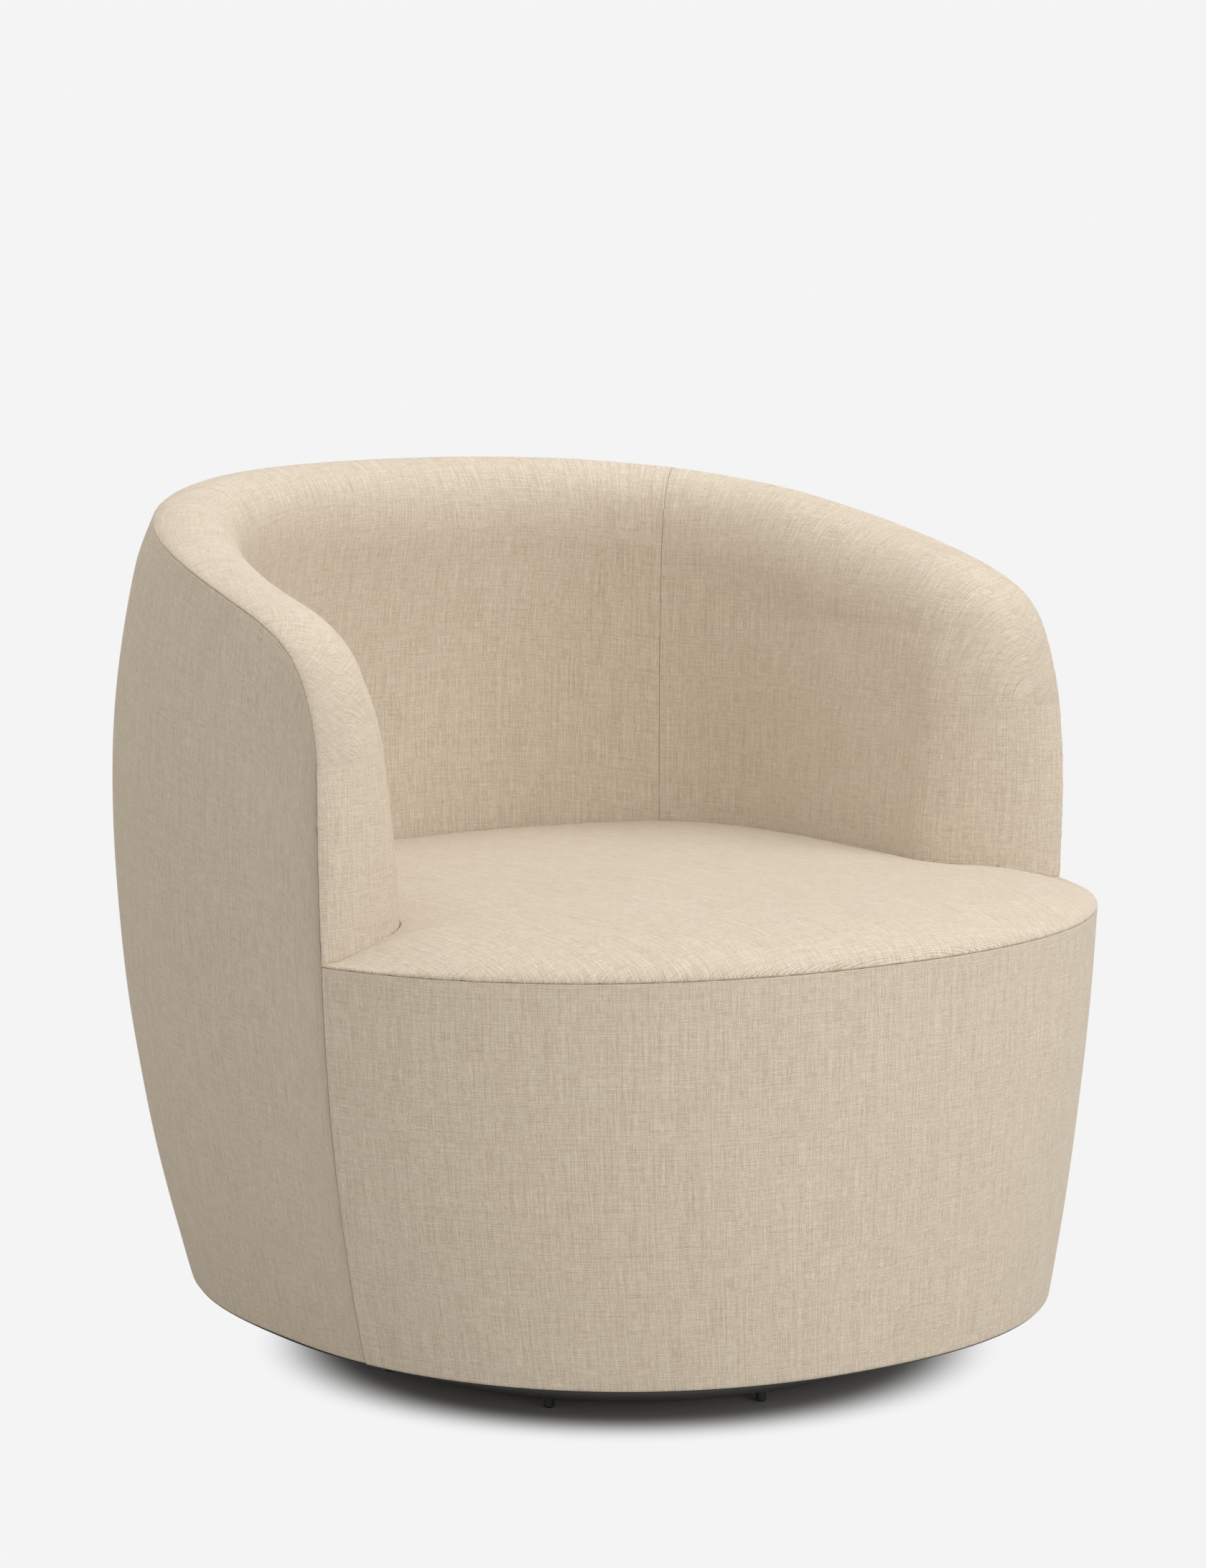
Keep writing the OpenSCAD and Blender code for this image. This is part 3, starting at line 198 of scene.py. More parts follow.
def arm_reach_at(z):
    return HEM_ARM_REACH + (ARM_REACH - HEM_ARM_REACH) * np.clip((z - HEM) / (SEAT_SEAM - HEM), 0, 1)


def edge_steps(length, spacing, near=EDGE_NEAR, both=True):
    """Positions from 0 to length, close together beside the seams."""
    head = [0.0] + [a for a in near if a < length / 3]
    tail = [length - a for a in reversed(head)] if both else [length]
    count = max(2, int(round((tail[0] - head[-1]) / spacing)))
    middle = np.linspace(head[-1], tail[0], count + 1)
    return np.concatenate([head, middle[1:-1], tail])


def rolled(distance, radius):
    """How far cloth turns in towards a seam at a distance from it."""
    a = np.clip(1 - np.asarray(distance, float) / radius, 0, 1)
    return radius * (1 - np.sqrt(np.clip(1 - a ** 2, 0, 1)))


def along(points, axis):
    """Running length along one direction of a grid of points."""
    step = np.linalg.norm(np.diff(points, axis=axis), axis=-1)
    return np.concatenate([np.zeros_like(np.take(step, [0], axis)), np.cumsum(step, axis)], axis)


def turns_along(first, last, z, spacing, both=True, near=EDGE_NEAR):
    """Plan turns between two seams, evenly spaced on the cloth and close beside the seams."""
    fine = np.linspace(first, last, 2000)
    run = along(body_point(fine, z, 0), 0)
    return np.interp(edge_steps(run[-1], spacing, near, both), run, fine)


def ripple(points, height, lengths=(190, 110, 67), seed=3):
    """Slow unevenness of hand-laid wadding, as a height at each point."""
    rng = np.random.RandomState(seed)
    total = 0
    for k, length in enumerate(lengths):
        for _ in range(3):
            way = rng.normal(size=3)
            way /= np.linalg.norm(way)
            total = total + np.sin(points @ way * 2 * math.pi / length + rng.uniform(0, 7)) / (k + 1.5)
    return height * total / 3


# Meshes
def make_mesh(name, points, faces, finish, uvs):
    mesh = bpy.data.meshes.new(name)
    mesh.from_pydata((np.asarray(points) * MM).tolist(), [], [list(map(int, f)) for f in faces])
    mesh.materials.append(finish)
    layer = mesh.uv_layers.new(name="cloth")
    loops = np.empty(len(mesh.loops), dtype=np.int32)
    mesh.loops.foreach_get("vertex_index", loops)
    layer.data.foreach_set("uv", (np.asarray(uvs)[loops] * MM).ravel())
    mesh.polygons.foreach_set("use_smooth", [True] * len(mesh.polygons))
    mesh.validate()
    mesh.update()
    piece = bpy.data.objects.new(name, mesh)
    bpy.context.scene.collection.objects.link(piece)
    return piece


def numbered(grid, closed=False):
    """Numbers of the points of a grid, the first column again at the end of a closed one."""
    ids = np.arange(grid.shape[0] * grid.shape[1]).reshape(grid.shape[:2])
    return np.concatenate([ids, ids[:, :1]], 1) if closed else ids


def grid_faces(ids):
    corners = ids[:-1, :-1], ids[:-1, 1:], ids[1:, 1:], ids[1:, :-1]
    return np.stack([c.ravel() for c in corners], 1).tolist()


def swept_band(name, loops, us, vs, finish):
    """Closed cloth band: one closed profile for each column, with its two ends shut."""
    ids = numbered(loops)
    faces = grid_faces(numbered(loops, True)) + [ids[0].tolist(), ids[-1][::-1].tolist()]
    uv = np.stack(np.broadcast_arrays(us[:, None], vs), -1)
    return make_mesh(name, loops.reshape(-1, 3), faces, finish, uv.reshape(-1, 2))


def spline_weights(known, wanted):
    """Matrix that carries values at the known positions smoothly to the wanted ones."""
    known, wanted = np.asarray(known, float), np.asarray(wanted, float)
    n = len(known)
    h = np.diff(known)
    a, r = np.eye(n), np.zeros((n, n))
    for i in range(1, n - 1):
        a[i, i - 1], a[i, i], a[i, i + 1] = h[i - 1], 2 * (h[i - 1] + h[i]), h[i]
        r[i, i - 1], r[i, i], r[i, i + 1] = 6 / h[i - 1], -6 / h[i - 1] - 6 / h[i], 6 / h[i]
    bend = np.linalg.solve(a, r)
    k = np.clip(np.searchsorted(known, wanted) - 1, 0, n - 2)
    lo, hi, step = known[k], known[k + 1], h[k]
    p, q = (hi - wanted) / step, (wanted - lo) / step
    out = np.zeros((len(wanted), n))
    rows = np.arange(len(wanted))
    out[rows, k] += p
    out[rows, k + 1] += q
    out += ((p ** 3 - p) * step ** 2 / 6)[:, None] * bend[k] + ((q ** 3 - q) * step ** 2 / 6)[:, None] * bend[k + 1]
    return out


def blown(points, faces, held):
    """Closed pad blown up a little in a cloth simulation, with its seams and hidden side held."""
    mesh = bpy.data.meshes.new("pad_form")
    mesh.from_pydata((points * MM).tolist(), [], [list(map(int, f)) for f in faces])
    mesh.update()
    form = bpy.data.objects.new("pad_form", mesh)
    bpy.context.scene.collection.objects.link(form)
    group = form.vertex_groups.new(name="held")
    group.add([int(i) for i in np.nonzero(held)[0]], 1.0, "REPLACE")
    cloth = form.modifiers.new("cloth", "CLOTH")
    s = cloth.settings
    s.quality = 7
    s.mass = 0.25
    s.tension_stiffness = s.compression_stiffness = 18
    s.shear_stiffness = 8
    s.bending_stiffness = 2.5
    s.air_damping = 2
    s.use_pressure = True
    s.uniform_pressure_force = 4
    s.vertex_group_mass = "held"
    s.effector_weights.gravity = 0
    cloth.collision_settings.use_collision = False
    cloth.collision_settings.use_self_collision = False
    cloth.point_cache.frame_start = 1
    cloth.point_cache.frame_end = SIM_FRAMES
    scene = bpy.context.scene
    for step in range(1, SIM_FRAMES + 1):
        scene.frame_set(step)
    mesh_now = form.evaluated_get(bpy.context.evaluated_depsgraph_get()).data
    now = np.empty(len(points) * 3)
    mesh_now.vertices.foreach_get("co", now)
    moved = now.reshape(-1, 3) / MM - points
    length = np.linalg.norm(moved, axis=1, keepdims=True)
    moved *= np.minimum(1, SIM_REACH / np.maximum(length, 1e-9))
    bpy.data.objects.remove(form)
    bpy.data.meshes.remove(mesh)
    scene.frame_set(1)
    return np.nan_to_num(moved)


def facing_out(points, faces):
    """The faces of a closed solid, turned round if they face into it."""
    volume = 0.0
    for f in faces:
        a = points[f[0]]
        for i in range(1, len(f) - 1):
            volume += float(np.dot(a, np.cross(points[f[i]], points[f[i + 1]])))
    return [f[::-1] for f in faces] if volume < 0 else faces


def closed_solid(outer, hidden, faces):
    """Closed solid from a showing skin and the hidden skin behind it, which have the same grid."""
    n = len(outer)
    edges = {(a, b) for f in faces for a, b in zip(f, f[1:] + f[:1])}
    rim = sorted((a, b) for (a, b) in edges if (b, a) not in edges)
    points = np.concatenate([outer, hidden])
    back = [[i + n for i in reversed(f)] for f in faces]
    return points, facing_out(points, faces + back + [[b, a, a + n, b + n] for a, b in rim])


def closed_form(name, outer, hidden, faces, finish, uvs):
    points, every = closed_solid(outer, hidden, faces)
    return make_mesh(name, points, every, finish, np.concatenate([uvs, uvs]))


def closed_rings(body, tips):
    """Points and faces of a solid made of closed rings, with a point at each end."""
    ids, tip = numbered(body, True), body.shape[0] * body.shape[1]
    faces = grid_faces(ids)
    faces += [[b, a, tip] for a, b in zip(ids[0, :-1].tolist(), ids[0, 1:].tolist())]
    faces += [[a, b, tip + 1] for a, b in zip(ids[-1, :-1].tolist(), ids[-1, 1:].tolist())]
    points = np.concatenate([body.reshape(-1, 3), tips])
    return points, facing_out(points, faces)


def skin_normals(points, faces):
    """Direction that each point of a skin faces, from the faces round it."""
    quads = np.asarray(faces)
    n = np.cross(points[quads[:, 2]] - points[quads[:, 0]], points[quads[:, 3]] - points[quads[:, 1]])
    total = np.zeros_like(points)
    for k in range(4):
        np.add.at(total, quads[:, k], n)
    return total / np.maximum(np.linalg.norm(total, axis=1, keepdims=True), 1e-12)


# Seat cushion outline, seen from above
def cushion_line(spacing, front_z=SEAT_SEAM, front_inset=0.0, flared=1.0):
    """Outline of the seat inside the front border and the pads: plan points, edge heights, seam mark."""
    clear = 0.6
    first = float(turn_at(-(ARM_REACH + clear)))
    front = turns_along(-180 - first, first, SEAT_SEAM, spacing, near=(0.5, 1.4, 3, 6))
    front_p = body_point(front, front_z, front_inset)[:, :2]
    start = float(turn_at(-(ARM_REACH - clear)))
    swing = np.cos(np.radians(np.linspace(0, 90, max(8, int(125 / spacing)))))
    nose = turn_at(-ARM_REACH + clear + (CORNER_Y + ARM_REACH) * (1 - swing))
    side = np.concatenate([nose, turns_along(0.5, 90, WIDEST, spacing, False, ())])
    side[0] = start
    side_z = tuck_height(side)
    inset = pad_inset(side, side_z, SHOWN._replace(flared=flared)) + clear
    side_p = body_point(side, side_z, inset)[:, :2]
    steps = max(5, int(np.linalg.norm(side_p[0] - front_p[-1]) / spacing * 1.3))
    share = np.linspace(0, 1, steps + 1)[1:-1]
    shoulder_p = front_p[-1] + (side_p[0] - front_p[-1]) * share[:, None]
    shoulder_z = SEAT_SEAM + (side_z[0] - SEAT_SEAM) * (1 - (1 - share) ** 1.9)
    mirror = np.array([-1, 1])
    line = np.concatenate([front_p, shoulder_p, side_p, (side_p * mirror)[-2::-1], (shoulder_p * mirror)[::-1]])
    height = np.concatenate([np.full(len(front), SEAT_SEAM), shoulder_z, side_z, side_z[-2::-1], shoulder_z[::-1]])
    seam = np.concatenate([np.ones(len(front)), 1 - share, np.zeros(2 * len(side) - 1), (1 - share)[::-1]])
    return line, height, seam


HUB = np.array([0.0, -CROWN_REACH])
LINE, LINE_Z, _ = cushion_line(4.0)
LINE_ANGLE = np.unwrap(np.arctan2(LINE[:, 1] - HUB[1], LINE[:, 0] - HUB[0]))
LINE_R = np.linalg.norm(LINE - HUB, axis=1)


def corner_dip(x, y, to_edge):
    """How far the cushion is pulled down in its front corners."""
    away = np.hypot(np.abs(x) - 412, y + 130) / 35
    return 7.5 * away * np.exp(1 - away) * np.tanh(to_edge / 8)


def cushion_height(x, y):
    """Height of the top of the seat cushion at a place."""
    angle = np.arctan2(y - HUB[1], x - HUB[0])
    angle = LINE_ANGLE[0] + np.mod(angle - LINE_ANGLE[0], 2 * math.pi)
    ring = np.append(LINE_ANGLE, LINE_ANGLE[0] + 2 * math.pi)
    reach = np.interp(angle, ring, np.append(LINE_R, LINE_R[0]))
    edge = np.interp(angle, ring, np.append(LINE_Z, LINE_Z[0]))
    share = np.clip(np.hypot(x - HUB[0], y - HUB[1]) / reach, 0, 1)
    return edge + (CROWN - edge) * np.sqrt(1 - share ** 4) - corner_dip(x, y, (1 - share) * reach)


def falls_from_crest(spacing, total=330.0):
    """Shares of a pad's height below the crest of the rim, close together over the roll."""
    turn = np.radians(np.linspace(0, 90, max(6, int(RIM_DEPTH * 1.45 / spacing)) + 1))
    curve = RIM_DEPTH * (1 - np.cos(turn))
    straight = np.linspace(RIM_DEPTH, total, max(4, int((total - RIM_DEPTH) / spacing)) + 1)[1:]
    return np.concatenate([curve, straight]) / total


def drop_steps(count, near):
    """Shares of the rim's height from its crest out to the seam."""
    curve = 1 - np.cos(np.radians(np.linspace(0, 90, count + 1)))
    keep = [k for k in curve if k < 1 - 0.12 * near[-1]]
    return np.array(keep + [1 - 0.1 * a for a in reversed(near)] + [1.0])


def arm_skin(skin, thetas, backs, falls, lows, drops):
    """Skin of the right arm pad: its face with the nose, and the strip over the rim to the outer seam."""
    rise = skin.share * ARM_RISE
    cosine = np.cos(np.radians(thetas))
    y = CORNER_Y - (CORNER_RUN + rise) * cosine
    turn = np.concatenate([turn_at(y), backs])
    top = seam_height(turn, skin.share * rise_at(turn))
    top[0] = CORNER_Z
    probe = body_point(turn, 420, pad_inset(turn, 420, skin))
    # the foot of the nose stands on the seat, the rest goes down beside the cushion
    crest_y = CORNER_Y - (CORNER_RUN + ARM_RISE) * cosine
    on_seat = np.concatenate([crest_y < -ARM_REACH - 0.3, np.zeros(len(backs), bool)])
    sunk = ARM_GAP - 3.5 * smooth((np.concatenate([y, np.zeros(len(backs))]) + ARM_REACH + 4) / 4)
    foot = np.where(on_seat, cushion_height(probe[:, 0], probe[:, 1]) + sunk, PAD_FOOT)
    z = np.concatenate([top - (top - MID) * falls[:, None], MID - (MID - foot) * lows[:, None]])
    inset = pad_inset(turn[None, :], z, skin)
    inset[0] = RIM_INSET
    inset[:, 0] = RIM_INSET
    face = body_point(turn[None, :], z, inset)
    ids = numbered(z)
    nose = len(thetas)
    strips = []
    for k in drops[1:]:
        inset = skin.edge + (RIM_INSET - skin.edge) * (1 - round_over(k))
        left = rise * (1 - k)
        t_in = np.concatenate([turn_at(CORNER_Y - (CORNER_RUN + left) * cosine), backs])
        z_in = CORNER_Z + (CORNER_DROP + left) / (CORNER_DROP + rise) * (top[:nose] - CORNER_Z)
        z_back = seam_height(backs, skin.share * rise_at(backs) * (1 - k))
        over = body_point(t_in, np.concatenate([z_in, z_back]), inset)[::-1]
        t_down = float(turn_at(-(ARM_REACH + left)))
        spot = body_point(t_down, 405, inset)
        low = float(cushion_height(spot[0], spot[1])) + ARM_GAP
        z_down = np.concatenate([z[:len(falls), 0], MID - (MID - low) * lows])[1:]
        strips.append(np.concatenate([over, body_point(t_down, z_down, inset)]))
    strip = np.array(strips)
    crest = np.concatenate([ids[0, ::-1], ids[1:, 0]])
    strip_ids = np.concatenate([crest[None, :], ids.size + numbered(strip)])
    points = relax(np.concatenate([face.reshape(-1, 3), strip.reshape(-1, 3)]))
    return points, grid_faces(ids) + grid_faces(strip_ids), ids, strip_ids, z


def arm_uvs(points, ids, strip_ids, thetas, level):
    face = points[ids]
    u = along(face[level:level + 1], 1)[0]
    v = along(face, 0)
    v = v[level] - v
    uv = np.zeros((len(points), 2))
    uv[ids, 0] = u
    uv[ids, 1] = v
    run = along(points[strip_ids], 0)
    crest = uv[strip_ids[0]]
    way = np.radians(np.concatenate([np.full(ids.shape[1] - len(thetas), 90.0), thetas[::-1],
                                     np.zeros(ids.shape[0] - 1)]))
    uv[strip_ids[1:], 0] = crest[:, 0] - run[1:] * np.cos(way)
    uv[strip_ids[1:], 1] = crest[:, 1] + run[1:] * np.sin(way)
    return uv


def seam_puckers(distance, along_seam, reach=16.0, height=0.45, seed=5):
    """Small gathers that fade away from a seam."""
    rng = np.random.RandomState(seed)
    wave = 0
    for length in (9.0, 13.5, 21.0, 34.0):
        wave = wave + np.sin(along_seam * 2 * math.pi / length + rng.uniform(0, 7) + 1.3 * np.sin(along_seam / 71.0))
    return height * wave / 4 * np.exp(-distance / reach)


def arm_grid(spacing, near):
    thetas = np.linspace(0, 90, max(10, int(200.2 / spacing)) + 1)
    backs = turns_along(0.35, PAD_SEAM, WIDEST, spacing, True, near)[1:]
    backs = backs[backs > 0.9]
    gap = math.degrees(SEAM_GAP / (HALF - WALL))
    backs = backs * (PAD_SEAM - gap) / PAD_SEAM
    falls = falls_from_crest(spacing)
    lows = np.linspace(0, 1, max(5, int(80 / spacing)) + 1)[1:]
    drops = drop_steps(max(5, int(34 / spacing)), RIM_NEAR if near else (1.0,))
    return thetas, backs, falls, lows, drops


def arm_pad(side, finish, swelling=None):
    grid = thetas, backs, falls, lows, drops = arm_grid(PAD_STEP, PAD_NEAR)
    outer, faces, ids, strip, z = arm_skin(SHOWN, *grid)
    hidden = arm_skin(HIDDEN, *grid)[0]
    uv = arm_uvs(outer, ids, strip, thetas, len(falls) - 1)
    lift = np.zeros(len(outer))
    # soft crease where the arm pad meets the back pad
    edge = along(outer[ids], 1)
    to_seam = edge[:, -1:] - edge
    lift[ids] -= rolled(to_seam, 0.6)
    lift[ids] += seam_puckers(to_seam, uv[ids, 1] + 40 * side, 15, 0.5, 7)
    # roll and gathers along the outer seam
    over = along(outer[strip], 0)
    to_edge = over[-1:] - over
    path = along(outer[strip[:1]], 1)
    lift[strip[1:]] -= rolled(to_edge[1:], 1.3)
    lift[strip] += seam_puckers(to_edge, path + 17 * side, 9, 0.35, 11)
    seam_side = np.concatenate([to_seam[0][::-1], np.full(ids.shape[0] - 1, 1e3)])
    lift[strip[1:]] -= rolled(seam_side, 0.6)
    flip = np.array([side, 1, 1])
    calm = np.ones(len(outer))
    calm[ids] = np.clip(to_seam / 40, 0, 1) * np.clip((z - 415) / 60, 0, 1)
    calm[strip] = 0.25
    lift += (ripple(outer * flip, 0.7, seed=13 + side) - 0.4) * calm
    if swelling is not None:
        full = swelling(thetas, backs, falls, lows)
        lift[ids] += full
        lift[strip[1:]] += np.concatenate([full[0, ::-1], full[1:, 0]]) * (1 - drops[1:, None] ** 2)
    shown = outer + skin_normals(outer, faces) * np.minimum(lift, PAD_LIFT)[:, None]
    name = "arm_pad_" + ("right" if side > 0 else "left")
    return closed_form(name, shown * flip, hidden * flip, faces, finish, uv * [side, 1])


def back_grid(spacing, near):
    gap = math.degrees(SEAM_GAP / (HALF - WALL))
    turns = turns_along(PAD_SEAM + gap, 180 - PAD_SEAM - gap, WIDEST, spacing, True, near)
    drops = drop_steps(max(5, int(34 / spacing)), RIM_NEAR if near else (1.0,))
    falls = falls_from_crest(spacing, total=430.0)
    return turns, drops, falls


def back_skin(skin, turns, drops, falls):
    """Skin of the back pad: points, faces, their numbers, and the way each point faces."""
    rises = skin.share * rise_at(turns)
    ahead = np.minimum(turns, 180 - turns)
    rows = []
    for k in drops[::-1]:
        inset = skin.edge + (RIM_INSET - skin.edge) * (1 - round_over(k))
        rows.append(body_point(turns, seam_height(turns, rises * (1 - k)), inset))
    top = seam_height(turns, rises)
    for f in falls[1:]:
        z = top - (top - PAD_FOOT) * f
        rows.append(body_point(turns, z, pad_inset(ahead, z, skin._replace(flared=0.0))))
    grid = relax(np.array(rows))
    ids = numbered(grid)
    faces = grid_faces(ids)
    normals = skin_normals(grid.reshape(-1, 3), faces)
    if normals[ids[-4, len(turns) // 2], 1] > 0:
        normals = -normals
    return grid, faces, ids, normals


def back_pad(finish, swelling=None):
    turns, drops, falls = back_grid(PAD_STEP, PAD_NEAR)
    grid, faces, _, normals = back_skin(SHOWN, turns, drops, falls)
    hidden = back_skin(HIDDEN, turns, drops, falls)[0].reshape(-1, 3)
    u = along(grid, 1)
    v = along(grid, 0)
    to_seam = np.minimum(u, u[:, -1:] - u)
    lift = -rolled(to_seam, 0.6) - rolled(v, 1.3)
    lift += seam_puckers(to_seam, v, 15, 0.5, 7) * (v > 3)
    lift += seam_puckers(v, u, 9, 0.35, 12)
    calm = np.clip(to_seam / 40, 0, 1) * np.clip((grid[..., 2] - 415) / 60, 0, 1) * np.clip(v / 60, 0.2, 1)
    lift += (ripple(grid, 0.8, (230, 140, 80), 21) - 0.4) * calm
    if swelling is not None:
        lift += swelling(turns, drops, falls)
    shown = grid.reshape(-1, 3) + normals * np.minimum(lift, PAD_LIFT).reshape(-1, 1)
    middle = along(grid[len(drops) + 20:len(drops) + 21], 1)[0]
    uv = np.stack(np.broadcast_arrays((middle - middle[-1] / 2)[None, :], -v), -1).reshape(-1, 2)
    return closed_form("back_pad", shown, hidden, faces, finish, uv)


def seat_cushion(finish, swelling=None):
    line, edge_z, seam = cushion_line(PAD_STEP)
    near = np.sqrt(np.sin(np.radians(np.linspace(24, 90, 27))))
    shares = np.concatenate([np.linspace(0, near[0], 34)[1:-1], near])
    out = line - HUB
    reach = np.linalg.norm(out, axis=1)
    top = np.zeros((len(shares), len(line), 3))
    top[..., :2] = HUB + out * shares[:, None, None]
    top[..., 2] = edge_z + (CROWN - edge_z) * np.sqrt(1 - shares[:, None] ** 4)
    top[..., 2] -= corner_dip(top[..., 0], top[..., 1], (1 - shares[:, None]) * reach)
    rim = along(top, 0)
    to_edge = rim[-1:] - rim
    path = along(line, 0)
    inward = -out / reach[:, None]
    pinch = rolled(to_edge, 1.0) * (0.35 + 0.65 * seam)
    top[..., :2] += inward * pinch[..., None]
    lift = seam_puckers(to_edge, path, 12, 0.35, 31) * seam
    lift = lift + (ripple(top, 0.7, (260, 150, 90), 33) - 0.35) * np.clip(to_edge / 50, 0, 1)
    if swelling is not None:
        lift = lift + swelling(shares, path / path[-1])
    top[..., 2] += np.minimum(lift, SEAT_LIFT)
    # the wall below the edge, tucked behind the border at the front and beside the pads elsewhere
    tucked = top[-1].copy()
    rings = []
    for down, step_in in ((0.0, 1.0), (0.0, 4.0), (0.0, 8.4), (8.0, 8.8), (22.0, 9.2), (40.6, 9.2)):
        ring = tucked.copy()
        low = edge_z - np.where(seam > 0.5, down, down + 2.0 + step_in * 0.6)
        ring[:, 2] = np.where(down > 40, CUSHION_LOW, np.minimum(low + 0.3 * (seam > 0.5), tucked[:, 2]))
        ring[:, :2] = tucked[:, :2] + inward * (step_in * np.clip(seam * 1.6, 0, 1))[:, None]
        rings.append(ring)
    base = rings[-1].copy()
    base[:, :2] = HUB + (base[:, :2] - HUB) * 0.5
    body = np.concatenate([top, np.array(rings), base[None]])
    middle_z = float(np.mean(top[0, :, 2]))
    points, faces = closed_rings(body, [[HUB[0], HUB[1], middle_z], [HUB[0], HUB[1], CUSHION_LOW]])
    uv = points[:, :2].copy()
    drop = np.clip(edge_z[None, :] - body[..., 2], 0, None)
    uv[:-2] += (-inward[None] * drop[..., None]).reshape(-1, 2)
    return make_mesh("seat_cushion", points, faces, finish, uv)


# How far each pad fills out under its cover, from a cloth simulation of a coarser form
def carried(known_rows, known_cols, push, most):
    """Spreads the simulated movement over a finer grid, as fullness between the seams."""
    full = push * most / max(float(np.percentile(push, 98)), 1e-6)

    def spread(rows, cols):
        down = spline_weights(known_rows, np.clip(rows, known_rows[0], known_rows[-1]))
        across = spline_weights(known_cols, np.clip(cols, known_cols[0], known_cols[-1]))
        return np.clip(down @ full @ across.T, -0.3, most * 1.15)
    return spread


def pushed_out(outer, hidden, faces, normals, seams):
    """How far each point of a pad's skin moves out in the simulation, with its seams held."""
    points, every = closed_solid(outer, hidden, faces)
    held = np.ones(len(points), bool)
    held[:len(outer)] = False
    held[np.concatenate(seams)] = True
    return (blown(points, every, held)[:len(outer)] * normals).sum(1)


def arm_swelling():
    grid = thetas, backs, falls, lows, _ = arm_grid(SIM_STEP, ())
    outer, faces, ids, strip, _ = arm_skin(SHOWN, *grid)
    hidden = arm_skin(HIDDEN, *grid)[0]
    push = pushed_out(outer, hidden, faces, skin_normals(outer, faces),
                      (strip[-1], ids[:, -1], ids[-1], strip[:, 0], strip[:, -1]))

    def places(t, b, f, w):
        return np.concatenate([f, 1 + w]), np.concatenate([t / 90, 1 + b / PAD_SEAM])
    spread = carried(*places(thetas, backs, falls, lows), push[ids], PAD_FULL)
    return lambda t, b, f, w: spread(*places(t, b, f, w))


def back_swelling():
    turns, drops, falls = back_grid(SIM_STEP, ())
    grid, faces, ids, normals = back_skin(SHOWN, turns, drops, falls)
    hidden = back_skin(HIDDEN, turns, drops, falls)[0].reshape(-1, 3)
    push = pushed_out(grid.reshape(-1, 3), hidden, faces, normals, (ids[0], ids[-1], ids[:, 0], ids[:, -1]))
    spread = carried(np.concatenate([-drops[::-1], falls[1:]]), turns, push[ids], PAD_FULL)
    return lambda t, d, f: spread(np.concatenate([-d[::-1], f[1:]]), t)


def seat_swelling():
    line, edge_z, _ = cushion_line(16.0)
    shares = np.linspace(0.08, 1, 24)
    top = np.zeros((len(shares), len(line), 3))
    top[..., :2] = HUB + (line - HUB) * shares[:, None, None]
    top[..., 2] = edge_z + (CROWN - edge_z) * np.sqrt(1 - shares[:, None] ** 4)
    low = top.copy()
    low[..., 2] = CUSHION_LOW
    ids = numbered(top)
    push = pushed_out(top.reshape(-1, 3), low.reshape(-1, 3), grid_faces(numbered(top, True)), [0, 0, 1], (ids[-1],))
    path = along(line, 0)
    return carried(shares, path / path[-1], push[ids], SEAT_FULL)


def column_rows(height, steps, total):
    """Distances down a panel, kept as they are beside its edges and stretched between them."""
    keep = 12.0
    stretched = keep + (steps - keep) * (height - 2 * keep) / (total - 2 * keep)
    return np.where(steps <= keep, steps, np.where(steps >= total - keep, height - (total - steps), stretched))


def panel_band(name, columns, middle_row, finish):
    """Closed band of a panel's columns, with its cloth laid out from the middle and down from the top."""
    band = np.array(columns)
    length = along(band[:, middle_row][None], 1)[0]
    down = -along(band[len(band) // 2][None], 1)[0]
    return swept_band(name, band, length - length[-1] / 2, np.broadcast_to(down, band.shape[:2]), finish)


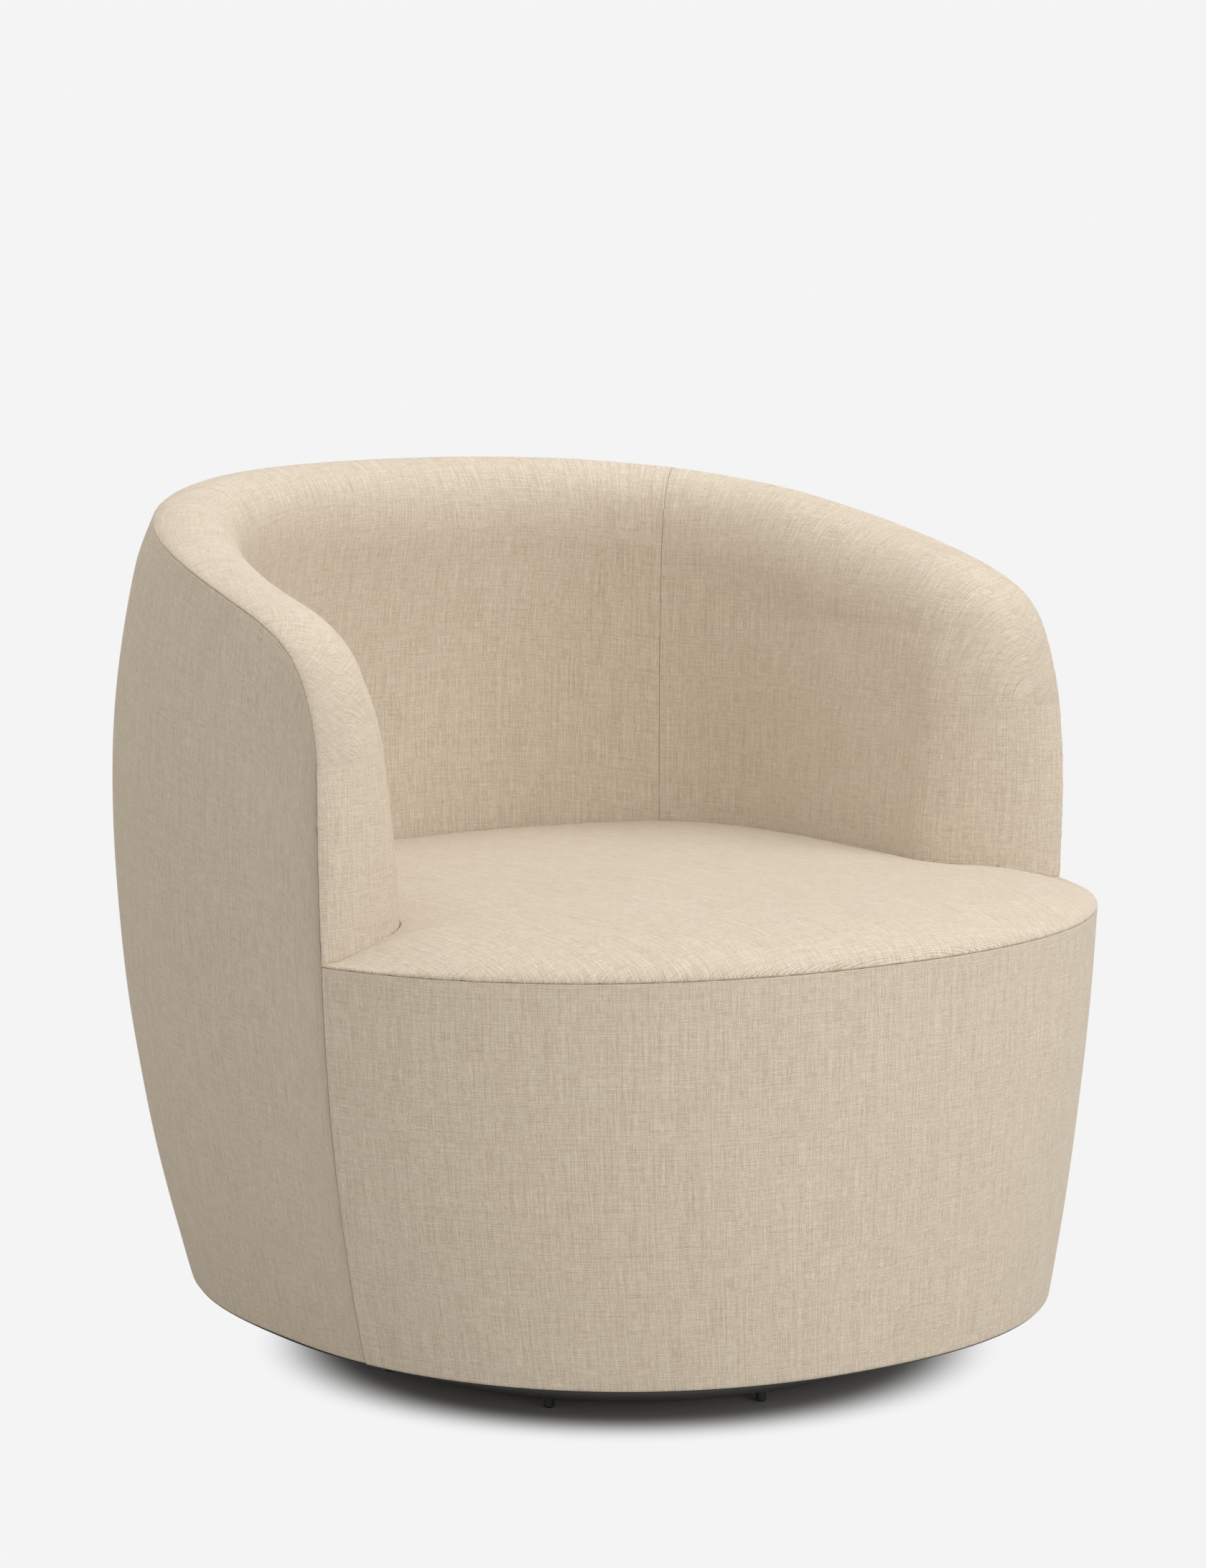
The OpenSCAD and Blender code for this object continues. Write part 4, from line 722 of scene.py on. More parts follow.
def outer_wrap(finish):
    """Outside panel with its arm fronts, one cloth from seam to seam, its hem turned under."""
    turned_hem = ((5.5, -0.1), (14, 0.05), (HEM_TURN, 0.1), (HEM_TURN, 1.2), (14, 1.25), (7.0, 1.3))
    plan = 700  # rows are set out for a panel of this height
    steps = edge_steps(plan, 7.5)
    reach_top = CORNER_Y + ARM_REACH - 0.25
    thetas = np.degrees(np.arccos(1 - np.array([0, *EDGE_NEAR]) / reach_top))
    thetas = np.concatenate([thetas, np.linspace(thetas[-1], 90, 21)[1:]])
    cosine = np.cos(np.radians(thetas))
    behind = turns_along(0.6, 90, WIDEST, 7.5, False, ())
    halves = []
    for side in (1, -1):
        part = []
        for j in range(len(thetas) + len(behind)):
            nose = j < len(thetas)
            turn_top = float(turn_at(CORNER_Y - reach_top * cosine[j]) if nose else behind[j - len(thetas)])
            top = float(seam_height(np.array([turn_top]), 0.0)[0]) - 0.3
            z = top - column_rows(top - HEM_LOW, steps, plan)
            if nose:
                reach = np.where(z > SEAT_SEAM, ARM_REACH, arm_reach_at(z)) - 0.25
                turn = turn_at(CORNER_Y - (CORNER_Y + reach) * cosine[j])
                gap = CORNER_Y + reach - (CORNER_Y + reach) * cosine[j]
            else:
                turn = np.full(len(z), turn_top)
                gap = np.full(len(z), 1e3)
            depth = np.clip(np.where(z > SEAT_SEAM, depth_below(turn, z, 0.0), gap), 0, None)
            depth = np.minimum(depth, top - z)
            hem = z - HEM_LOW
            point = body_point(turn, z, 0)
            lift = -rolled(depth, 1.3) - rolled(hem, 2.6)
            lift = lift + seam_puckers(depth, z + 3 * side, 10, 0.3, 41) * (z < CORNER_Z)
            slow = ripple(point * [side, 1, 1], 0.9, (310, 190, 120), 45) - 0.5
            lift = lift + slow * np.clip(depth / 50, 0, 1) * np.clip(hem / 40, 0.15, 1)
            wave = 0.5 * np.sin(point[:, 1] / 33.0 + side) * np.exp(-hem / 22.0)
            lift = lift + wave * np.clip(depth / 30, 0, 1)
            outside = body_point(turn, z, 0.25 - np.minimum(lift, 0.25))
            under = [body_point(turn[-1], HEM_LOW + up, inset) for inset, up in turned_hem]
            inner_z = np.linspace(58.4, top - 1.0, 14)
            near_edge = np.interp(inner_z, z[::-1], depth[::-1])
            inside = body_point(np.interp(inner_z, z[::-1], turn[::-1]), inner_z,
                                np.where(near_edge < 6, WRAP_T - 0.2, WRAP_T))
            part.append(relax(np.concatenate([outside, under, inside])) * [side, 1, 1])
        halves.append(part)
    return panel_band("outer_wrap", halves[0][:-1] + halves[1][::-1], len(steps) // 2, finish)


def front_border(finish):
    """Panel below the seat at the front."""
    turned_hem = ((5.5, 55.7), (9.0, 56.15), (14, 56.3), (HEM_TURN, 56.35),
                  (HEM_TURN, 57.5), (14, 57.55), (10.0, 57.6))
    plan = 345  # rows are set out for a panel of this height
    steps = edge_steps(plan, 7.0)
    fine = np.linspace(-90, float(turn_at(-ARM_REACH)), 800)
    run = along(body_point(fine, SEAT_SEAM, 0), 0)
    half_run = run[-1]
    top = SEAT_SEAM - 0.3
    z = top - column_rows(top - BORDER_LOW, steps, plan)
    hem = z - BORDER_LOW
    part = []
    for f in edge_steps(2 * half_run, 6.5) / half_run - 1:
        turn_mid = float(np.interp(abs(f) * half_run, run, fine))
        edge_turn = turn_at(-(arm_reach_at(z) + 0.3))
        turn = -90 + (turn_mid + 90) * (edge_turn + 90) / (fine[-1] + 90)
        gap = np.full(len(z), (1 - abs(f)) * half_run)
        point = body_point(turn, z, 0) * [np.sign(f) if f else 1, 1, 1]
        lift = -rolled(gap, 1.0) - rolled(top - z, 0.9) - rolled(hem, 3.0)
        lift = lift + seam_puckers(top - z, np.full(len(z), f * half_run), 7, 0.3, 51)
        lift = lift + seam_puckers(gap, z, 9, 0.3, 52)
        slow = ripple(point, 0.8, (300, 180, 110), 55) - 0.4
        lift = lift + slow * np.clip(gap / 40, 0, 1) * np.clip(hem / 40, 0.1, 1) * np.clip((top - z) / 30, 0, 1)
        outside = body_point(turn, z, 0.2 - np.minimum(lift, 0.2))
        under = [body_point(turn[-1], height, inset) for inset, height in turned_hem]
        inner_z = np.linspace(60, top - 0.4, 10)
        inside = body_point(np.interp(inner_z, z[::-1], turn[::-1]), inner_z, BORDER_T)
        part.append(np.concatenate([outside, under, inside]) * [1 if f >= 0 else -1, 1, 1])
    return panel_band("front_border", part, len(steps) // 2, finish)


# Ladder stitches that close the seams, laid along the seam lines by Geometry Nodes
STITCHES = {"Stitch spacing": 0.0042, "Stitch length": 0.0026, "Thread width": 0.00055, "Seed": 4}


def seam_paths():
    """Lines of the seams, a little below the cloth, each with a second line 1 mm further out."""
    deep = 1.15
    paths = []
    y = CORNER_Y - CORNER_RUN * np.cos(np.radians(np.linspace(6, 90, 90)))
    turns = np.concatenate([turn_at(y), np.linspace(1, 90, 220)])
    for side in (1, -1):
        flip = np.array([side, 1, 1])
        z = np.linspace(408, CORNER_Z - 2, 60)
        rim_turn = np.concatenate([np.full(len(z), turn_at(-ARM_REACH)), turns])
        rim_z = np.concatenate([z, seam_height(turns, 0.0)])
        paths.append([relax(body_point(rim_turn, rim_z, d)) * flip for d in (deep, deep - 1)])
        z = np.linspace(398, 64, 110)
        fall = turn_at(-(arm_reach_at(z) + 0.15))
        paths.append([body_point(fall, z, d) * flip for d in (deep, deep - 1)])
    first = float(turn_at(-(ARM_REACH + 3)))
    front = np.linspace(-180 - first, first, 400)
    low, out = (body_point(front, SEAT_SEAM - 0.2, d) for d in (deep, deep - 1))
    paths.append([low, low + (out - low + [0, 0, 0.8]) * 0.8])
    return paths


def fill_socket(tree, socket, value):
    if isinstance(value, bpy.types.NodeSocket):
        tree.links.new(value, socket)
    else:
        socket.default_value = value


def add_node(tree, kind, inputs=(), **settings):
    """A new node with its settings made and its inputs set or joined."""
    made = tree.nodes.new(kind)
    for key, value in settings.items():
        setattr(made, key, value)
    for key, value in dict(inputs).items():
        fill_socket(tree, made.inputs[key], value)
    return made


def stitch_tree(finish):
    """Short rounded stitches set across a path at even steps."""
    tree = bpy.data.node_groups.new("ladder_stitches", "GeometryNodeTree")
    face = tree.interface
    face.new_socket("Seams", in_out="INPUT", socket_type="NodeSocketGeometry")
    for name, value in STITCHES.items():
        kind = "NodeSocketInt" if name == "Seed" else "NodeSocketFloat"
        face.new_socket(name, in_out="INPUT", socket_type=kind).default_value = value
    face.new_socket("Stitches", in_out="OUTPUT", socket_type="NodeSocketGeometry")

    def new(kind, inputs=(), **settings):
        return add_node(tree, kind, inputs, **settings).outputs

    asked = new("NodeGroupInput")
    curve = new("GeometryNodeMeshToCurve", {"Mesh": asked["Seams"]})["Curve"]
    spots = new("GeometryNodeCurveToPoints", mode="LENGTH",
                inputs={"Curve": curve, "Length": asked["Stitch spacing"]})
    out = new("GeometryNodeInputNamedAttribute", {"Name": "faces"}, data_type="FLOAT_VECTOR")
    lay = new("FunctionNodeAlignRotationToVector", {"Vector": spots["Tangent"]}, axis="X")
    stand = new("FunctionNodeAlignRotationToVector", axis="Z", pivot_axis="X",
                inputs={"Rotation": lay["Rotation"], "Vector": out["Attribute"]})
    thread = new("GeometryNodeMeshUVSphere", {"Segments": 8, "Rings": 5, "Radius": 0.5})
    vary = new("FunctionNodeRandomValue", {2: 0.85, 3: 1.15, "Seed": asked["Seed"]}, data_type="FLOAT")
    length = new("ShaderNodeMath", {0: asked["Stitch length"], 1: vary[1]}, operation="MULTIPLY")[0]
    width = asked["Thread width"]
    size = new("ShaderNodeCombineXYZ", {0: width, 1: length, 2: width})[0]
    place = new("GeometryNodeInstanceOnPoints", {
        "Points": spots["Points"], "Instance": thread["Mesh"],
        "Rotation": stand["Rotation"], "Scale": size})
    real = new("GeometryNodeRealizeInstances", {"Geometry": place["Instances"]})
    shaded = new("GeometryNodeSetShadeSmooth", {"Geometry": real["Geometry"]})
    coat = new("GeometryNodeSetMaterial", {"Geometry": shaded["Geometry"], "Material": finish})
    new("NodeGroupOutput", {"Stitches": coat["Geometry"]})
    return tree


def seam_stitches(finish):
    points, edges, faces_way = [], [], []
    for line, ahead in seam_paths():
        start = sum(len(p) for p in points)
        points.append(line)
        faces_way.append(ahead - line)
        edges += [(start + i, start + i + 1) for i in range(len(line) - 1)]
    mesh = bpy.data.meshes.new("seam_lines")
    mesh.from_pydata((np.concatenate(points) * MM).tolist(), edges, [])
    way = mesh.attributes.new("faces", "FLOAT_VECTOR", "POINT")
    way.data.foreach_set("vector", np.concatenate(faces_way).ravel())
    mesh.update()
    lines = bpy.data.objects.new("seam_lines", mesh)
    bpy.context.scene.collection.objects.link(lines)
    layer = lines.modifiers.new("stitches", "NODES")
    layer.node_group = stitch_tree(finish)
    for socket in layer.node_group.interface.items_tree:
        if socket.item_type == "SOCKET" and socket.in_out == "INPUT" and socket.name in STITCHES:
            layer[socket.identifier] = STITCHES[socket.name]
    bpy.context.view_layer.update()
    done = bpy.data.meshes.new_from_object(lines.evaluated_get(bpy.context.evaluated_depsgraph_get()))
    done.name = "seam_stitches"
    bpy.data.objects.remove(lines)
    bpy.data.meshes.remove(mesh)
    piece = bpy.data.objects.new("seam_stitches", done)
    bpy.context.scene.collection.objects.link(piece)
    return piece


# Hidden soft parts: felt, webbing and the dust cover
def felt_pad(finish):
    line = cushion_line(9.0, 332.0, 8.9, flared=0.0)[0]
    out = line - HUB
    inner = HUB + out * (1 - 1.0 / np.linalg.norm(out, axis=1, keepdims=True))
    rings = []
    for share, z in ((0.35, 356.1), (0.7, 356.1), (0.9, 356.1), (0.985, 356.1), (1.0, 355.6),
                     (1.0, 353.4), (0.985, 352.8), (0.9, 352.75), (0.35, 352.75)):
        ring = HUB + (inner - HUB) * share
        wave = ripple(np.column_stack([ring, np.full(len(ring), z)]), 0.12, (60, 35), 61)
        rings.append(np.column_stack([ring, z + (wave - 0.1) * (z > 355)]))
    points, faces = closed_rings(np.array(rings), [[*HUB, 356.0], [*HUB, 352.75]])
    return make_mesh("felt_pad", points, faces, finish, points[:, :2])


STRAP_W, STRAP_PITCH, CROSS_PITCH, CROSS_SHIFT, RING_TOP = 50.0, 84.0, 92.0, 28.0, 350.0
STRAP_UNDER, STRAP_OVER = RING_TOP + 0.62, RING_TOP + 1.78
STRAP_PROFILE = ((-24.7, 0.0), (-24.4, 0.5), (-12, 0.55), (0, 0.57), (12, 0.55),
                 (24.4, 0.5), (24.7, 0.0), (24.4, -0.5), (0, -0.55), (-24.4, -0.5))


def strap_end(reach, half, far, n):
    return reach * (1 - (abs(far) / half) ** n) ** (1 / n)


def webbing_straps(name, lengthwise, finish):
    """Woven straps that pass over and under each other below the felt."""
    points, faces, uv = [], [], []
    half_ring = float(swell(RING_TOP, HALF, HEM_HALF, TOP_HALF))
    front_ring = float(swell(RING_TOP, FRONT, HEM_FRONT, FRONT))
    back_ring = float(swell(RING_TOP, BACK, HEM_BACK, TOP_BACK))
    for i in range(-2, 3):
        place = i * STRAP_PITCH if lengthwise else i * CROSS_PITCH + CROSS_SHIFT
        far = abs(place) + STRAP_W / 2
        if lengthwise:
            a = -strap_end(front_ring - 41, half_ring - 41, far, FRONT_SQUARE)
            b = strap_end(back_ring - 57, half_ring - 57, far, BACK_SQUARE)
            crossings = [k * CROSS_PITCH + CROSS_SHIFT for k in range(-2, 3)]
        else:
            reach = front_ring if place < 0 else back_ring
            b = strap_end(half_ring - 57, reach - 57, far, BACK_SQUARE)
            a = -b
            crossings = [k * STRAP_PITCH for k in range(-2, 3)]
        s = np.linspace(a + 0.5, b - 0.5, int((b - a) / 7))
        level = np.full(len(s), STRAP_UNDER if lengthwise else STRAP_OVER)
        for k, c in enumerate(crossings):
            wish = STRAP_OVER if ((i + k) % 2 == 0) == lengthwise else STRAP_UNDER
            level = level + (wish - level) * smooth(1 - np.clip(np.abs(s - c) - 22, 0, None) / 20)
        ring = []
        for w, h in STRAP_PROFILE:
            across = np.full(len(s), place + w)
            ring.append(np.column_stack([across, s, level + h] if lengthwise else [s, across, level + h]))
            uv.append(np.column_stack([np.full(len(s), w), s]))
        block = np.array(ring)
        ids = numbered(block)
        part = grid_faces(np.concatenate([ids, ids[:1]])) + [ids[:, 0].tolist(), ids[::-1, -1].tolist()]
        start = sum(len(p) for p in points)
        points.append(block.reshape(-1, 3))
        faces += [[q + start for q in f] for f in facing_out(points[-1], part)]
    return make_mesh(name, np.concatenate(points), faces, finish, np.concatenate(uv))


DUST_INSET, DUST_HOLE, DUST_LOW, DUST_T = 3.0, 206.0, 54.4, 0.8


def dust_cover(finish):
    """Thin cloth tacked under the bottom board, with a square hole for the bearing."""
    angles = np.radians(np.arange(0, 360, 2.0) + 1.0)
    turns = np.degrees(angles)
    turns = np.where(turns > 180, turns - 360, turns)
    rim = body_point(turns, HEM, DUST_INSET)[:, :2]
    way = rim / np.linalg.norm(rim, axis=1, keepdims=True)
    half = DUST_HOLE / 2
    hole = way * (half / np.max(np.abs(way), axis=1, keepdims=True))
    share = np.linspace(0, 1, 16)
    flat = hole[None] + (rim - hole)[None] * share[:, None, None]
    flat = np.concatenate([flat, np.zeros(flat.shape[:2] + (1,))], -1)
    sag = 0.25 * np.sin(share * math.pi)[:, None] + ripple(flat, 0.06, (90, 50, 30), 71)
    low = flat.copy()
    low[..., 2] = DUST_LOW + 0.25 - np.clip(sag, 0, 0.25)
    ids, n = numbered(low, True), low.shape[0] * low.shape[1]
    skin = grid_faces(ids)
    faces = skin + [[q + n for q in f[::-1]] for f in skin]
    for row, flip in ((0, False), (-1, True)):
        for a, b in zip(ids[row, :-1].tolist(), ids[row, 1:].tolist()):
            f = [b, a, a + n, b + n]
            faces.append(f[::-1] if flip else f)
    points = np.concatenate([low.reshape(-1, 3), (low + [0, 0, DUST_T]).reshape(-1, 3)])
    piece = make_mesh("dust_cloth", points, facing_out(points, faces), finish, points[:, :2])
    x, y = rim[:, 0], rim[:, 1]
    area = 0.5 * abs(float(np.sum(x * np.roll(y, -1) - y * np.roll(x, -1)))) - DUST_HOLE ** 2
    return piece, float(x.max() - x.min()) * MM, float(y.max() - y.min()) * MM, area * MM * MM


# Finishes
class Finish:
    """A material whose nodes are joined by short calls."""

    def __init__(self, name, **shader):
        self.material = bpy.data.materials.new(name)
        self.material.use_nodes = True
        self.tree = self.material.node_tree
        self.shader = self.tree.nodes["Principled BSDF"]
        for key, value in shader.items():
            self.shader.inputs[key.replace("_", " ")].default_value = value

    def node(self, kind, inputs=(), **settings):
        return add_node(self.tree, kind, inputs, **settings)

    def put(self, socket, value):
        fill_socket(self.tree, socket, value)

    def maths(self, operation, a, b=0.0):
        return self.node("ShaderNodeMath", {0: a, 1: b}, operation=operation).outputs[0]

    def add(self, a, b):
        return self.maths("ADD", a, b)

    def times(self, a, b):
        return self.maths("MULTIPLY", a, b)

    def less(self, a, b):
        return self.maths("SUBTRACT", a, b)

    def vector(self, operation, a, b=(0, 0, 0)):
        return self.node("ShaderNodeVectorMath", {0: a, 1: b}, operation=operation).outputs[0]

    def coords(self, which="Object"):
        return self.node("ShaderNodeTexCoord").outputs[which]

    def noise(self, where, scale=1.0, detail=2.0, roughness=0.5, stretch=None):
        if stretch is not None:
            where = self.vector("MULTIPLY", where, stretch)
        return self.node("ShaderNodeTexNoise", {"Vector": where, "Scale": scale, "Detail": detail,
                                                "Roughness": roughness}).outputs["Fac"]

    def ramp(self, factor, *stops):
        made = self.node("ShaderNodeValToRGB", {"Fac": factor})
        ramp = made.color_ramp
        while len(ramp.elements) < len(stops):
            ramp.elements.new(0.5)
        for element, (place, colour) in zip(ramp.elements, stops):
            element.position = place
            element.color = (*colour, 1) if len(colour) == 3 else colour
        return made.outputs["Color"]

    def between(self, factor, low, high):
        return self.node("ShaderNodeMapRange", {"Value": factor, "To Min": low, "To Max": high}).outputs["Result"]

    def mix(self, factor, a, b, blend="MIX"):
        made = self.node("ShaderNodeMix", data_type="RGBA", blend_type=blend)
        self.put(made.inputs[0], factor)
        self.put(made.inputs[6], a if isinstance(a, bpy.types.NodeSocket) else (*a, 1))
        self.put(made.inputs[7], b if isinstance(b, bpy.types.NodeSocket) else (*b, 1))
        return made.outputs[2]

    def bump(self, height, distance, strength=1.0, under=None):
        made = self.node("ShaderNodeBump", {"Height": height, "Distance": distance, "Strength": strength})
        if under is not None:
            self.put(made.inputs["Normal"], under)
        return made.outputs["Normal"]

    def wear(self, colour, roughness, normal):
        for name, value in (("Base Color", colour), ("Roughness", roughness), ("Normal", normal)):
            self.put(self.shader.inputs[name], value)
        return self.material


def woven_cover():
    """Cream plain weave with slubs: threads about a millimetre wide, laid by the cloth's own map."""
    f = Finish("cream_slub_weave", Roughness=0.9, Sheen_Weight=0.2, Sheen_Roughness=0.45, Specular_IOR_Level=0.25)
    f.shader.inputs["Sheen Tint"].default_value = (1.0, 0.96, 0.90, 1)
    uv = f.coords("UV")
    place = f.coords("Object")
    drift = f.node("ShaderNodeTexNoise", {"Vector": uv, "Scale": 160.0, "Detail": 2.0}).outputs["Color"]
    wander = f.vector("MULTIPLY", f.vector("SUBTRACT", drift, (0.5, 0.5, 0.5)), (0.0009, 0.0009, 0))
    cloth = f.vector("MULTIPLY", f.vector("ADD", uv, wander), (math.pi / 0.00095, math.pi / 0.0011, 0))
    split = f.node("ShaderNodeSeparateXYZ", {0: cloth})
    warp, weft = (f.maths("SINE", split.outputs[i]) for i in (0, 1))
    over = f.maths("GREATER_THAN", f.times(warp, weft), 0.0)
    warp_round, weft_round = f.maths("ABSOLUTE", warp), f.maths("ABSOLUTE", weft)
    thread = f.add(f.times(over, warp_round), f.times(f.less(1.0, over), weft_round))

    def centred(scales, share=1.0, roughness=0.6):
        return f.times(f.less(f.noise(uv, 1.0, 2.0, roughness, scales), 0.5), share)
    # each thread has its own thickness, with slubs along it, more of them in the upright threads
    up = f.add(centred((760.0, 30.0, 0), 1.0, 0.55), centred((1250.0, 120.0, 0), 1.1))
    across = f.add(centred((40.0, 800.0, 0), 1.0, 0.55), centred((120.0, 1250.0, 0), 1.1))
    slub_up = f.times(up, f.add(f.times(over, 0.75), 0.35))
    slub_across = f.times(across, f.less(0.85, f.times(over, 0.6)))
    slubs = f.add(slub_up, slub_across)
    # long even differences between one thread and the next
    long_threads = f.add(centred((560.0, 8.0, 11.0), 0.50), centred((7.0, 560.0, 13.0), 0.30))
    fleck = f.noise(uv, 900.0, 2.0, 0.7)
    # the colour is darker where each thread dips at its edges, which is painted shade in the hollows of the weave;
    # the slubs, long threads and flecks are the cloth's own tone
    shade = f.add(f.times(f.less(thread, 0.64), 0.55), f.times(f.add(slubs, long_threads), 0.72))
    shade = f.add(shade, f.times(f.less(fleck, 0.5), 0.40))
    colour = f.ramp(f.add(f.times(shade, 1.9), 0.5),
                    (0.0, (0.480, 0.402, 0.308)), (0.4, (0.655, 0.570, 0.464)),
                    (0.62, (0.737, 0.656, 0.548)), (1.0, (0.838, 0.774, 0.676)))
    # a few straw-yellow and rosy fibres
    straw = f.ramp(f.noise(uv, 1.0, 2.0, 0.6, (620.0, 70.0, 3.0)), (0.60, (0, 0, 0)), (0.70, (0.45, 0.45, 0.45)))
    colour = f.mix(straw, colour, (0.70, 0.590, 0.415))
    rosy = f.ramp(f.noise(uv, 1.0, 2.0, 0.6, (75.0, 640.0, 7.0)), (0.62, (0, 0, 0)), (0.72, (0.35, 0.35, 0.35)))
    colour = f.mix(rosy, colour, (0.735, 0.600, 0.505))
    cloudy = f.noise(place, 7.0, 3.0, 0.55)
    colour = f.mix(f.between(cloudy, 0.0, 0.16), colour, (0.93, 0.84, 0.72), "MULTIPLY")
    mottle = f.noise(place, 60.0, 3.0, 0.6)
    colour = f.mix(f.between(mottle, 0.0, 0.05), colour, (0.86, 0.80, 0.74), "MULTIPLY")
    height = f.add(f.times(thread, 0.9), f.times(slubs, 0.9))
    fuzz = f.noise(uv, 2300.0, 2.0, 0.6)
    height = f.add(height, f.times(fuzz, 0.35))
    normal = f.bump(height, 0.00034, 0.75)
    rough = f.between(f.add(thread, f.times(fleck, 0.4)), 0.97, 0.84)
    return f.wear(colour, rough, normal)


def powder_coat():
    colour = (0.060, 0.062, 0.063)
    f = Finish("charcoal_powder_coat", Roughness=0.42, Specular_IOR_Level=0.5)
    place = f.coords()
    peel = f.noise(place, 900.0, 2.0, 0.55)
    cloud = f.noise(place, 22.0, 3.0, 0.6)
    dust = f.noise(place, 240.0, 4.0, 0.7)
    tone = f.mix(f.between(cloud, 0.1, 0.6), colour, tuple(min(1, c * 1.5 + 0.01) for c in colour))
    tone = f.mix(f.between(dust, 0.0, 0.16), tone, (0.32, 0.31, 0.30))
    rough = f.between(f.add(peel, f.times(cloud, 0.4)), 0.34, 0.56)
    return f.wear(tone, rough, f.bump(peel, 0.00015, 0.6))


def moulded_black():
    f = Finish("black_glide_plastic", Roughness=0.5)
    place = f.coords()
    grain = f.noise(place, 1400.0, 2.0)
    scuff = f.noise(place, 160.0, 4.0, 0.7, (1, 1, 0.2))
    tone = f.mix(f.between(scuff, 0.0, 0.3), (0.018, 0.018, 0.019), (0.10, 0.10, 0.10))
    return f.wear(tone, f.between(scuff, 0.42, 0.68), f.bump(grain, 0.00008, 0.6))


def plated_steel(name, colour, low, high, lines=(60, 60, 900), spots=True):
    f = Finish(name, Metallic=1.0, Roughness=0.3)
    place = f.coords()
    brushed = f.noise(place, 1.0, 3.0, 0.6, lines)
    patch = f.noise(place, 70.0, 4.0, 0.65)
    tone = f.mix(f.between(patch, 0.0, 0.7), colour, tuple(c * 0.72 for c in colour))
    if spots:
        stain = f.noise(place, 340.0, 3.0, 0.7)
        spot = f.ramp(stain, (0.60, (0, 0, 0)), (0.78, (0.5, 0.5, 0.5)))
        tone = f.mix(spot, tone, tuple(c * 0.45 for c in colour))
    rough = f.between(f.add(f.times(brushed, 0.6), f.times(patch, 0.4)), low, high)
    return f.wear(tone, rough, f.bump(brushed, 0.00006, 0.5))


def birch_ply():
    """Pale face veneer with flowing grain and the alternating plies on the cut edges."""
    f = Finish("birch_plywood", Roughness=0.6)
    place = f.coords()
    parts = f.node("ShaderNodeSeparateXYZ", {0: place})
    grain = f.noise(place, 1.0, 5.0, 0.62, (9.0, 160.0, 30.0))
    figure = f.noise(place, 1.0, 3.0, 0.5, (3.0, 26.0, 6.0))
    face = f.mix(f.between(grain, 0.0, 1.0), (0.63, 0.47, 0.30), (0.80, 0.65, 0.46))
    face = f.mix(f.between(figure, 0.0, 0.45), face, (0.55, 0.38, 0.22))
    ply = f.maths("GREATER_THAN", f.maths("SINE", f.times(parts.outputs[2], 2 * math.pi / 0.0032)), 0.0)
    edge = f.mix(f.times(ply, 0.75), (0.74, 0.60, 0.42), (0.42, 0.28, 0.17))
    facing = f.node("ShaderNodeNewGeometry")
    up = f.node("ShaderNodeSeparateXYZ", {0: facing.outputs["True Normal"]})
    flat = f.maths("GREATER_THAN", f.maths("ABSOLUTE", up.outputs[2]), 0.7)
    tone = f.mix(flat, edge, face)
    return f.wear(tone, f.between(grain, 0.5, 0.72), f.bump(grain, 0.0002, 0.5))


def planed_timber():
    f = Finish("planed_beech", Roughness=0.6)
    place = f.coords()
    rings = f.noise(place, 1.0, 5.0, 0.6, (55.0, 55.0, 5.0))
    fleck = f.noise(place, 1.0, 3.0, 0.6, (700.0, 700.0, 60.0))
    tone = f.ramp(rings, (0.25, (0.48, 0.31, 0.17)), (0.5, (0.64, 0.45, 0.27)), (0.75, (0.75, 0.58, 0.38)))
    tone = f.mix(f.between(fleck, 0.0, 0.45), tone, (0.42, 0.26, 0.14))
    return f.wear(tone, f.between(rings, 0.5, 0.75), f.bump(fleck, 0.0002, 0.5))


def strap_weave():
    f = Finish("elastic_webbing", Roughness=0.8, Sheen_Weight=0.15)
    uv = f.coords("UV")
    parts = f.node("ShaderNodeSeparateXYZ", {0: uv})
    width, length = parts.outputs[0], parts.outputs[1]
    across = f.maths("SINE", f.times(width, 2 * math.pi / 0.0024))
    down = f.maths("SINE", f.times(length, 2 * math.pi / 0.0030))
    weave = f.times(across, down)
    from_stripe = f.maths("ABSOLUTE", f.less(f.maths("ABSOLUTE", width), 0.016))
    stripe = f.maths("LESS_THAN", from_stripe, 0.0016)
    tone = f.mix(f.between(weave, 0.2, 0.8), (0.20, 0.12, 0.065), (0.36, 0.235, 0.13))
    tone = f.mix(f.times(stripe, 0.8), tone, (0.62, 0.55, 0.42))
    tone = f.mix(f.between(f.noise(uv, 900.0, 3.0), 0.0, 0.3), tone, (0.5, 0.4, 0.28))
    return f.wear(tone, f.between(weave, 0.9, 0.72), f.bump(weave, 0.0003, 0.7))


def pressed_felt():
    f = Finish("grey_felt", Roughness=0.95, Sheen_Weight=0.3)
    place = f.coords()
    hair = f.noise(place, 420.0, 5.0, 0.75)
    cloud = f.noise(place, 60.0, 4.0, 0.6)
    fleck = f.noise(place, 1.0, 3.0, 0.7, (900, 240, 500))
    tone = f.mix(f.between(cloud, 0.0, 1.0), (0.30, 0.29, 0.275), (0.48, 0.47, 0.45))
    tone = f.mix(f.ramp(fleck, (0.6, (0, 0, 0)), (0.72, (1, 1, 1))), tone, (0.16, 0.15, 0.16))
    return f.wear(tone, f.between(hair, 0.9, 1.0), f.bump(hair, 0.0006, 0.8))


